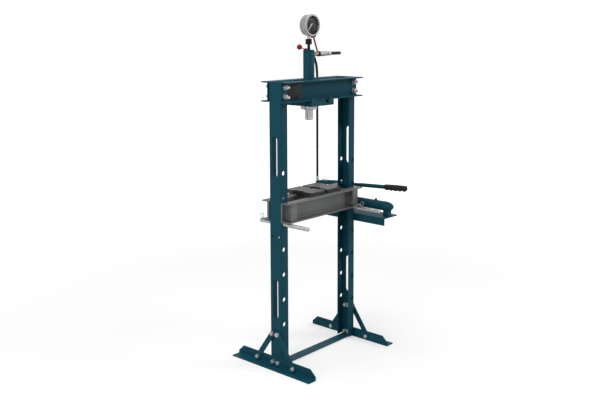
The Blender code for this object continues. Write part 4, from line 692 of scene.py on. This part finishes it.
slotted_outline = eased(slotted_profile, 0.0012, closed=True)
nut_turn = np.linspace(0, math.tau, 192, endpoint=False)
from_slot = np.abs((nut_turn % (math.pi / 2)) - math.pi / 4) * nut_radius
in_slot = (from_slot < slot_half_width)[None]
slot_cut = slot_depth * in_slot * (slotted_outline[:, :1] > 0.035)
piece(
    "ring_nut_zinc",
    [spun(slotted_outline[:, :1] - slot_cut, slotted_outline[:, 1], cylinder_place, closed=True)],
    zinc_plate,
    "ring_nut",
)


# Ram: hard-chromed bar, ground and polished, hollow for the return spring, with a rounded nose.
# A polymer seal sits in its piston.
chrome_plate = metal("chrome_plate", (0.40, 0.40, 0.395), (0.31, 0.31, 0.31), 0.30, 0.08, 25.0)
ram_bore = [
    (0, 1.245),
    (0.014, 1.245),
    (0.014, 1.545),
    (0.0226, 1.545),
    (0.0226, 1.5385),
    (0.0203, 1.5385),
    (0.0203, 1.5315),
    (0.0226, 1.5315),
    (0.0226, 1.525),
    (0.021, 1.525),
]
ram_nose = [(0.021, 1.525), (0.021, 1.225), (0, 1.225)]
ram_outline = np.concatenate([eased(ram_bore, 0.0004), eased(ram_nose, 0.006, 6)[1:]])
ram_bar = turned(ram_outline, cylinder_place, columns=96)
piece("ram_chrome", [ram_bar], chrome_plate, "ram")
kept(metal("spring_steel", (0.05, 0.05, 0.05), (0.02, 0.02, 0.02), 0.4), "return_spring")
seal_polymer = plain("seal_polymer", (0.40, 0.30, 0.14), (0.55, 0.42, 0.20), 0.35, spread=0.2)
kept(seal_polymer, "ram_seal")


# Gauge adapter: a blackened stem screwed into the cap, with a union nut that takes the gauge.
stem_profile = [(0, 1.6065), (0.0073, 1.6065), (0.0073, 1.5663), (0, 1.5663)]
piece(
    "gauge_adapter_black",
    [
        turned(stem_profile, cylinder_place, columns=40),
        hexagon(0.030, 1.605, 1.632, cylinder_place, (0, 0, 1)),
        thread(0.0079, 0.0015, 1.580, 1.589, cylinder_place, (0, 0, 1)),
        disc(0.0071, 0.0118, 1.6310, 1.6325, cylinder_place, (0, 0, 1)),
    ],
    black_oxide,
    "gauge_adapter",
)


# Pressure gauge: a satin steel case with a rolled bezel, a black dial with plain figures that count
# up evenly, a pale pointer on a hub, and a flat pane. It screws into the adapter by its stem.
gauge_place = at(cylinder_x, 0, 1.700)
front = (0, -1, 0)
satin_steel = metal("gauge_satin_steel", (0.31, 0.32, 0.315), (0.24, 0.25, 0.25), 0.44, 0.10, 18.0)
case_profile = [
    (0, -0.014),
    (0.045, -0.014),
    (0.045, 0.0144),
    (0.0475, 0.0144),
    (0.0475, 0.0229),
    (0.049, 0.0229),
    (0.049, 0.026),
    (0.0465, 0.026),
    (0.0465, 0.029),
    (0.0535, 0.029),
    (0.0550, 0.0275),
    (0.0550, 0.0195),
    (0.0535, 0.0185),
    (0.0520, 0.0185),
    (0.0520, -0.0135),
    (0.0490, -0.017),
    (0, -0.017),
]
spindle = [(0, 0.012), (0.004, 0.012), (0.004, -0.0142), (0, -0.0142)]
socket = [(0, 1.656), (0.0068, 1.656), (0.0068, 1.6183), (0, 1.6183)]
screw_profile = [(0, 0.0184), (0.0022, 0.0180), (0.0026, 0.0165), (0, 0.0165)]
screw_circle = 0.034
back_screws = []
for screw_turn in (math.radians(30), math.radians(150), math.radians(270)):
    aside = np.array([math.cos(screw_turn), 0, math.sin(screw_turn)]) * screw_circle
    back_screws.append(turned(screw_profile, gauge_place + aside, (0, 1, 0), columns=24))
piece(
    "gauge_case_steel",
    [
        turned(case_profile, gauge_place, front, ease=0.0009, columns=128),
        turned(spindle, gauge_place, front, columns=24),
        turned(socket, cylinder_place, columns=32),
        disc(0.0060, 0.0095, 1.6445, 1.6545, cylinder_place, (0, 0, 1), 0.0008),
        *back_screws,
    ],
    satin_steel,
    "gauge_case",
)

dial_black = plain(
    "dial_black", (0.005, 0.005, 0.006), (0.011, 0.011, 0.012), 0.5, 200.0, Specular_IOR_Level=0.2
)
dial_disc = [(0, 0.0157), (0.0472, 0.0157), (0.0472, 0.0147), (0, 0.0147)]
dial_parts = [turned(dial_disc, gauge_place, front, ease=0.0002, columns=96)]
piece("gauge_dial_face", dial_parts, dial_black, "gauge_dial")

dial_front = 0.0157
zero_angle = math.radians(229)
full_turn = math.radians(266)


def dial_strip(inner, outer, start, end, steps, lift=0.00012):
    """A thin raised mark between two radii and two angles, given as shares of the full scale."""
    angle = (zero_angle - np.linspace(start, end, steps + 1) * full_turn)[:, None]
    rim = np.array([[inner, outer, outer, inner]]) + 0 * angle
    heights = np.array([[0, 0, lift, lift]]) + dial_front - 0.00005 + 0 * angle
    points = np.stack([rim * np.cos(angle), rim * np.sin(angle), heights], -1)
    return grid(along(points, gauge_place, front), first_cap=True, last_cap=True)


def figures(text, size, place):
    """A number as thin solid shapes on the dial, from Blender's own typeface."""
    curve = bpy.data.curves.new("figures", "FONT")
    curve.body = text
    curve.size = size
    curve.align_x = "CENTER"
    curve.align_y = "CENTER"
    curve.extrude = 0.00006
    curve.resolution_u = 3
    shown = bpy.data.objects.new("figures", curve)
    bpy.context.scene.collection.objects.link(shown)
    bpy.context.view_layer.update()
    settled = shown.evaluated_get(bpy.context.evaluated_depsgraph_get())
    mesh = bpy.data.meshes.new_from_object(settled)
    points = np.empty(len(mesh.vertices) * 3)
    mesh.vertices.foreach_get("co", points)
    faces = [list(polygon.vertices) for polygon in mesh.polygons]
    bpy.data.objects.remove(shown)
    bpy.data.meshes.remove(mesh)
    bpy.data.curves.remove(curve)
    points = points.reshape(-1, 3) + np.array([place[0], place[1], dial_front + 0.00005])
    return along(points, gauge_place, front), faces


marks = []
for index in range(51):
    share = index / 50
    half_mark = 0.0009 if index % 10 == 0 else 0.0004
    outer = {0: 0.0382, 5: 0.0368}.get(index % 10, 0.0356)
    marks.append(dial_strip(0.0333, outer, share - half_mark, share + half_mark, 1))
figure_circle = 0.0235
for index in range(6):
    angle = zero_angle - full_turn * index / 5
    middle = (figure_circle * math.cos(angle), figure_circle * math.sin(angle))
    marks.append(figures(str(index * 5), 0.0058, middle))
dial_grey = plain("dial_print", (0.12, 0.12, 0.12), (0.17, 0.17, 0.17), 0.45)
piece("gauge_figures", marks, dial_grey, body="frame")
dial_band = plain("dial_band", (0.10, 0.10, 0.10), (0.13, 0.13, 0.13), 0.45)
band_strip = dial_strip(0.0285, 0.0329, 0, 1, 96)
piece("gauge_band", [band_strip], dial_band, body="frame")

needle_along = np.array([math.cos(zero_angle), math.sin(zero_angle)])
needle_side = np.array([-needle_along[1], needle_along[0]])
needle_reach = np.array([-0.014, -0.0135, -0.004, 0.0, 0.004, 0.020, 0.036])
needle_half = np.array([0.0022, 0.0028, 0.0022, 0.0026, 0.0025, 0.0021, 0.0007])
reaches = needle_reach[:, None, None] * needle_along
sides = np.array([-1, 1, 1, -1])[None, :, None] * needle_half[:, None, None] * needle_side
lifts = np.array([0.0162, 0.0162, 0.0170, 0.0170])[None, :, None] + 0 * sides[..., :1]
blade = np.concatenate([reaches + sides, lifts], -1)
hub = [
    (0, 0.018),
    (0.0045, 0.018),
    (0.0045, 0.016),
    (0.0012, 0.016),
    (0.0012, 0.0043),
    (0, 0.0043),
]
pointer_white = plain("pointer_white", (0.66, 0.66, 0.64), (0.78, 0.78, 0.76), 0.4)
piece(
    "gauge_needle_white",
    [
        grid(along(blade, gauge_place, front), first_cap=True, last_cap=True),
        turned(hub, gauge_place, front, ease=0.0004, columns=40),
    ],
    pointer_white,
    "gauge_needle",
)

pane = Finish(bpy.data.materials.new("gauge_pane"))
pane_haze = pane.between(pane.noise(30.0, 3.0), 0.45, 0.9)
pane_lean = pane.node("ShaderNodeLayerWeight", {}, {"Blend": 0.5}, "Facing")
pane_gleam = pane_lean * pane_lean * pane_lean * 0.1 + 0.003
pane_rough = pane_haze * 0.03 + 0.02
pane.looks(Base_Color=(1, 1, 1, 1), Metallic=1.0, Roughness=pane_rough, Alpha=pane_gleam)
pane_profile = [(0, 0.0254), (0.0487, 0.0252), (0.0487, 0.0232), (0, 0.0232)]
pane_disc = turned(pane_profile, gauge_place, front, columns=96)
piece("gauge_pane", [pane_disc], pane.owner, "gauge_glass")


# Side valve: a brass body screwed into the cylinder, with a hexagon, a groove, a neck and a boss
# for the hose. Its handle is a plated barrel with rolled ribs and a black rubber grip.
dull_brass = metal("dull_brass", (0.21, 0.22, 0.15), (0.12, 0.13, 0.10), 0.36, 0.12, 50.0)
valve_place = at(cylinder_x, 0, 1.556)
valve_profile = [
    (0, 0.1045),
    (0.0040, 0.1045),
    (0.0040, 0.0785),
    (0.0075, 0.0785),
    (0.0075, 0.0635),
    (0.0110, 0.0635),
    (0.0110, 0.0600),
    (0.0098, 0.0585),
    (0.0098, 0.0565),
    (0.0112, 0.0550),
    (0.0112, 0.0300),
    (0.0120, 0.0288),
    (0.0045, 0.0288),
    (0.0045, 0.0233),
    (0, 0.0233),
]
boss_profile = [(0, 0), (0.0062, 0), (0.0062, -0.020), (0, -0.020)]
piece(
    "valve_body_brass",
    [
        turned(valve_profile, valve_place, (1, 0, 0), ease=0.0005, columns=64),
        hexagon(0.0216, 0.032, 0.048, valve_place, (1, 0, 0)),
        turned(boss_profile, hose_boss_face, hose_heading, columns=32),
    ],
    dull_brass,
    "valve_body",
)
barrel_steel = metal("barrel_steel", (0.34, 0.345, 0.345), (0.23, 0.235, 0.235), 0.36, 0.12, 60.0)
barrel_share = np.linspace(0, 1, 150)
barrel_run = 0.1673 - 0.0885 * barrel_share
ribs = 0.0013 * np.maximum(0, np.cos(math.tau * barrel_share * 7)) ** 3
ribs = ribs * (barrel_share > 0.05) * (barrel_share < 0.97)
barrel_outline = np.concatenate(
    [
        [(0, 0.1893), (0.004, 0.1893), (0.004, 0.1673), (0.0096, 0.1673)],
        np.stack([0.0100 + 0.0040 * barrel_share - ribs, barrel_run], 1)[1:-1],
        [(0.0136, 0.0788), (0.0045, 0.0788), (0.0045, 0.1053), (0, 0.1053)],
    ]
)
barrel = [turned(barrel_outline, valve_place, (1, 0, 0), columns=64)]
piece("valve_handle_steel", barrel, barrel_steel, "valve_handle")

black_rubber = Finish(bpy.data.materials.new("black_rubber"))
rubber_grain = black_rubber.noise(700.0, 2.0)
rubber_worn = black_rubber.between(black_rubber.noise(45.0, 4.0), 0.4, 0.8)
black_rubber = black_rubber.looks(
    Base_Color=black_rubber.mixed(rubber_worn, (0.007, 0.007, 0.007), (0.014, 0.014, 0.014)),
    Roughness=rubber_grain * 0.16 + 0.52,
    Specular_IOR_Level=0.2,
    Normal=black_rubber.bump(rubber_grain, 0.00008),
)
sleeve_share = np.linspace(0, 1, 90)
sleeve_tip = np.sqrt(np.clip(1 - (1 - np.clip(sleeve_share * 20, 0, 1)) ** 2, 0, 1))
sleeve_rings = np.maximum(0, np.sin(math.tau * sleeve_share * 12)) ** 2
sleeve_rings = 0.0004 * sleeve_rings * (sleeve_share > 0.12) * (sleeve_share < 0.9)
sleeve_radii = (0.0082 - sleeve_rings + 0.0006 * (sleeve_share > 0.93)) * (0.55 + 0.45 * sleeve_tip)
sleeve_outline = np.concatenate(
    [
        [(0, 0.2486)],
        np.stack([sleeve_radii, 0.2486 - 0.081 * sleeve_share], 1),
        [(0.0043, 0.1676), (0.0043, 0.1896), (0, 0.1896)],
    ]
)
sleeve = [turned(sleeve_outline, valve_place, (1, 0, 0), columns=48)]
piece("valve_grip_rubber", sleeve, black_rubber, "valve_grip")


# Red levers: bent wire and a pressed ball, dipped in red enamel. One goes round the valve's neck
# and ends in a short cross bar. The other turns on the cap's post.
red_enamel = enamel("red_enamel", (0.24, 0.003, 0.006), (0.30, 0.05, 0.04), 0.3, 0.2, 0.0006)
ring_turn = np.linspace(0, math.tau, 48, endpoint=False)
neck = valve_place + np.array([0.071, 0, 0])
ring_path = neck + 0.011 * np.stack([0 * ring_turn, np.cos(ring_turn), np.sin(ring_turn)], 1)
tilt = math.radians(19)
bar_turn = math.radians(70)
arm_heading = np.array([0, math.sin(tilt), math.cos(tilt)])
arm_run = np.linspace(0.0155, 0.092, 12)[:, None]
bar_run = np.linspace(-0.0110, 0.0110, 8)[:, None]
bar_across = math.sin(bar_turn) * np.array([0, -math.cos(tilt), math.sin(tilt)])
bar_heading = bar_across + np.array([math.cos(bar_turn), 0, 0])
piece(
    "t_lever_red",
    [
        tube(ring_path, 0.0028, (1, 0, 0), closed=True),
        tube(neck + arm_heading * arm_run, 0.0043, (1, 0, 0)),
        tube(neck + arm_heading * arm_run[-1] + bar_heading * bar_run, 0.0049, (0.3, 0.2, 1)),
    ],
    red_enamel,
    "t_lever",
)
ball_hub = post_place + np.array([0, 0, 1.5783])
ball_centre = ball_hub + np.array([-0.0465, 0, 0.015])
arm_start = ball_hub + np.array([-0.0065, 0, 0.0026])
ball_radius = 0.0135
ball_turn = np.linspace(0, math.pi, 33)
ball_profile = np.stack([ball_radius * np.sin(ball_turn), ball_radius * np.cos(ball_turn)], 1)
ball_arm = arm_start + (ball_centre - arm_start) * np.linspace(0, 1, 10)[:, None]
ball_neck = [(0.0020, 0.0195), (0.0034, 0.0185), (0.0042, 0.0125), (0.0020, 0.0115)]
piece(
    "ball_lever_red",
    [
        disc(0.0046, 0.0080, 0, 0.005, ball_hub, (0, 0, 1), 0.0006),
        tube(ball_arm, 0.0021, (0, 1, 0)),
        turned(ball_profile, ball_centre, arm_start - ball_centre, columns=48),
        turned(ball_neck, ball_centre, arm_start - ball_centre, closed=True, columns=32),
    ],
    red_enamel,
    "ball_lever",
)


# Hand pump: a welded steel oil tank with a domed nose and a weld ring, on a folded shelf bolted to
# the right upright, with a pump block behind it. All are painted like the frame.
kept(blue_enamel, "pump_shelf", "pump_head")
kept(chrome_plate, "pump_plunger")
tank_place = at(0.350, 0, 0.744)
dome = np.linspace(0, math.pi / 2, 16)
tank_outline = np.concatenate(
    [
        [(0, 0.25)],
        np.stack([0.003 + 0.022 * np.sin(dome), 0.200 + 0.050 * np.cos(dome)], 1),
        [(0.025, 0.1985), (0.0257, 0.1975), (0.0257, 0.1945), (0.025, 0.1935)],
        [(0.025, -0.112), (0.0258, -0.114), (0.0258, -0.1285), (0.025, -0.1297)],
        [(0.022, -0.1297), (0.022, 0.195), (0, 0.200)],
    ]
)
piece(
    "pump_tank_paint",
    [
        turned(tank_outline, tank_place, front, columns=80),
        slab(at(0.335, -0.230, 0.6923), at(0.365, -0.195, 0.7245), 0.0015, 0.003),
    ],
    blue_enamel,
    "pump_tank",
)
knurl_turn = np.linspace(0, math.tau, 144, endpoint=False)[None]
filler_profile = [
    (0, 0.008),
    (0.0065, 0.008),
    (0.0065, 0),
    (0.0036, 0),
    (0.0036, -0.006),
    (0, -0.006),
]
cap_outline = eased(filler_profile, 0.0006)
knurl = 1 - 0.04 * (np.sin(knurl_turn * 24) > 0) * (cap_outline[:, :1] > 0.006)
piece(
    "filler_cap_black",
    [spun(cap_outline[:, :1] * knurl, cap_outline[:, 1], at(0.350, -0.1375, 0.7693))],
    black_oxide,
    "filler_cap",
)
knob_profile = [
    (0, 0.0143),
    (0.012, 0.0143),
    (0.012, 0.0003),
    (0.004, 0.0003),
    (0.004, -0.010),
    (0, -0.010),
]
knob_outline = eased(knob_profile, 0.0012)
flutes = 1 - 0.09 * np.maximum(0, np.sin(knurl_turn * 9)) * (knob_outline[:, :1] > 0.008)
piece(
    "release_knob_black",
    [spun(knob_outline[:, :1] * flutes, knob_outline[:, 1], at(0.378, 0.160, 0.728), (1, 0, 0))],
    black_rubber,
    "release_knob",
)


# Pump lever: a welded yoke and socket, a steel tube painted like the frame, and a moulded rubber
# grip with hollows for the fingers on its underside.
kept(blue_enamel, "lever_yoke")
lever_pivot = at(0.350, 0.245, 0.822)
lever_rise = math.radians(3.2)
lever_heading = np.array([0, -math.cos(lever_rise), math.sin(lever_rise)])
lever_up = np.array([0, math.sin(lever_rise), math.cos(lever_rise)])
lever_profile = [
    (0, 0.560),
    (0.0108, 0.560),
    (0.0108, 0.281),
    (0.0095, 0.279),
    (0.0095, 0.0903),
    (0, 0.0903),
]
piece(
    "pump_lever_paint",
    [turned(lever_profile, lever_pivot, lever_heading, ease=0.0006, columns=48)],
    blue_enamel,
    "pump_lever",
)
grip_run = np.linspace(0, 1, 121)
grip_turn = np.linspace(0, math.tau, 40, endpoint=False)
far_round = np.sqrt(np.clip(1 - (1 - np.clip((1 - grip_run) / 0.05, 0, 1)) ** 2, 0, 1))
near_round = np.sqrt(np.clip(1 - (1 - np.clip(grip_run / 0.02, 0, 1)) ** 2, 0, 1))
fullness = ((0.35 + 0.65 * far_round) * (0.85 + 0.15 * near_round))[:, None]
hollows = 0.0040 * np.abs(np.cos(math.pi * grip_run * 5)) ** 1.6
below = 0.0165 + 0.0015 * (1 - (2 * grip_run - 1) ** 2) - hollows
above = 0.0150 - 0.0006 * np.cos(math.tau * grip_run)
wide = 0.0148 - 0.0012 * np.cos(math.tau * grip_run)
squareness = 2.6
corners = np.abs(np.cos(grip_turn)) ** squareness + np.abs(np.sin(grip_turn)) ** squareness
square = 1 / corners ** (1 / squareness)
upper = np.sin(grip_turn) > 0
grip_rise = np.where(upper, above[:, None], below[:, None]) * np.sin(grip_turn) * square * fullness
grip_across = wide[:, None] * np.cos(grip_turn) * square * fullness
grip_points = (
    lever_pivot
    + grip_across[..., None] * np.array([1.0, 0, 0])
    + grip_rise[..., None] * lever_up
    + (0.443 + 0.138 * grip_run)[:, None, None] * lever_heading
)
grip = [grid(grip_points, first_cap=True, last_cap=True)]
piece("lever_grip_rubber", grip, black_rubber, "lever_grip")


# Bed: two hot-rolled channels with folded stiffeners welded in over the pins, left unpainted. The
# steel is grey under thin mill scale, oiled, and streaked along its length.
mill_steel = Finish(bpy.data.materials.new("mill_steel"))
mill_soft, mill_edge = mill_steel.edges(0.0016)
streak = mill_steel.between(mill_steel.noise(22.0, 5.0, (0.12, 1.0, 1.0)), 0.3, 0.75)
cloud = mill_steel.between(mill_steel.noise(7.0, 3.0), 0.3, 0.7)
pit = mill_steel.noise(420.0, 2.0)
patches = streak * 0.6 + cloud * 0.4
scale_grey = mill_steel.mixed(patches, (0.090, 0.096, 0.092), (0.150, 0.158, 0.152))
mill_steel.looks(
    Base_Color=mill_steel.mixed(mill_edge * 0.6, scale_grey, (0.30, 0.30, 0.29)),
    Metallic=0.4,
    Roughness=streak * 0.14 + 0.40,
    Normal=mill_steel.bump(pit, 0.00006, Normal=mill_soft),
)
kept(mill_steel.owner, "bed_channel_front", "bed_channel_rear")


def bead(start, end, radius):
    """A weld bead: a bar whose radius ripples along it, half sunk in the corner that it fills."""
    length = float(np.linalg.norm(end - start))
    run = np.linspace(0, 1, max(24, int(length / 0.0008)))
    ripple = radius * (1 + 0.10 * np.sin(math.tau * run * length / 0.0032))
    heading = (end - start) / length
    guide = (0, 1, 0) if abs(heading[1]) < 0.9 else (1, 0, 0)
    return tube(start + (end - start) * run[:, None], ripple, guide, sides=12)


web_bead_y = 0.0466
flange_bead_y = 0.0823
bed_beads = []
for side in (-1, 1):
    for face in (-1, 1):
        y = face * web_bead_y
        for x in (side * 0.2214, side * 0.2617):
            bed_beads.append(bead(at(x, y, 0.7512), at(x, y, 0.8312), 0.0020))
        y = face * flange_bead_y
        for z in (0.7475, 0.8350):
            bed_beads.append(bead(at(side * 0.224, y, z), at(side * 0.259, y, z), 0.0016))
bead_pale, bead_dark = (0.17, 0.17, 0.165), (0.10, 0.10, 0.10)
bead_steel = metal("weld_bead_steel", bead_pale, bead_dark, 0.42, 0.14, 200.0, metallic=0.6)
piece("bed_weld_beads", bed_beads, bead_steel, body="bed")


# Arbor plates: flame-cut plate, with its two faces ground, dark with oil and glossy.
plate_steel = Finish(bpy.data.materials.new("plate_steel"))
plate_soft, plate_edge = plate_steel.edges(0.0014)
ground = plate_steel.noise(60.0, 4.0, (0.08, 1.0, 1.0))
oil = plate_steel.between(plate_steel.noise(11.0, 4.0), 0.32, 0.7)
plate_tone = plate_steel.mixed(oil, (0.020, 0.021, 0.022), (0.045, 0.047, 0.047))
plate_steel.looks(
    Base_Color=plate_steel.mixed(plate_edge * 0.4, plate_tone, (0.16, 0.16, 0.16)),
    Metallic=0.2,
    Roughness=plate_steel.between(ground, 0.3, 0.7) * 0.10 + 0.34,
    Specular_IOR_Level=0.25,
    Normal=plate_steel.bump(ground, 0.00002, Normal=plate_soft),
)
kept(plate_steel.owner, "arbor_plate_left", "arbor_plate_right")


# Bed pins and ring clips: plated round bar with turned edges, and spring wire bent to a leg and a
# finger loop that stops the pin.
clip_wire = metal("clip_wire", (0.30, 0.30, 0.30), (0.22, 0.22, 0.22), 0.4, 0.08, 60.0)
pin_x = 0.270
pin_level = 0.731
pin_profile = [(0, 0.319), (0.010, 0.319), (0.010, 0), (0, 0)]
loop_radius = 0.011
for label, side, front_end, clip_y in (("left", -1, -0.201, 0.108), ("right", 1, -0.222, -0.104)):
    pin_place = at(side * pin_x, front_end, pin_level)
    pin = [turned(pin_profile, pin_place, (0, 1, 0), ease=0.0016, columns=48)]
    piece(f"bed_pin_{label}_zinc", pin, zinc_plate, f"bed_pin_{label}")
    loop = np.linspace(-math.pi / 2, 1.36 * math.pi, 44)
    leg = np.linspace(-0.015, 0.0125, 6)
    leg_points = np.stack([0 * leg, 0 * leg, leg], 1)
    loop_rise = 0.0245 + loop_radius * np.sin(loop)
    loop_points = np.stack([0 * loop, loop_radius * np.cos(loop), loop_rise], 1)
    clip_path = at(side * pin_x, clip_y, pin_level) + np.concatenate([leg_points, loop_points])
    clip = [tube(clip_path, 0.0018, (1, 0, 0), sides=12)]
    piece(f"ring_clip_{label}_wire", clip, clip_wire, f"ring_clip_{label}")
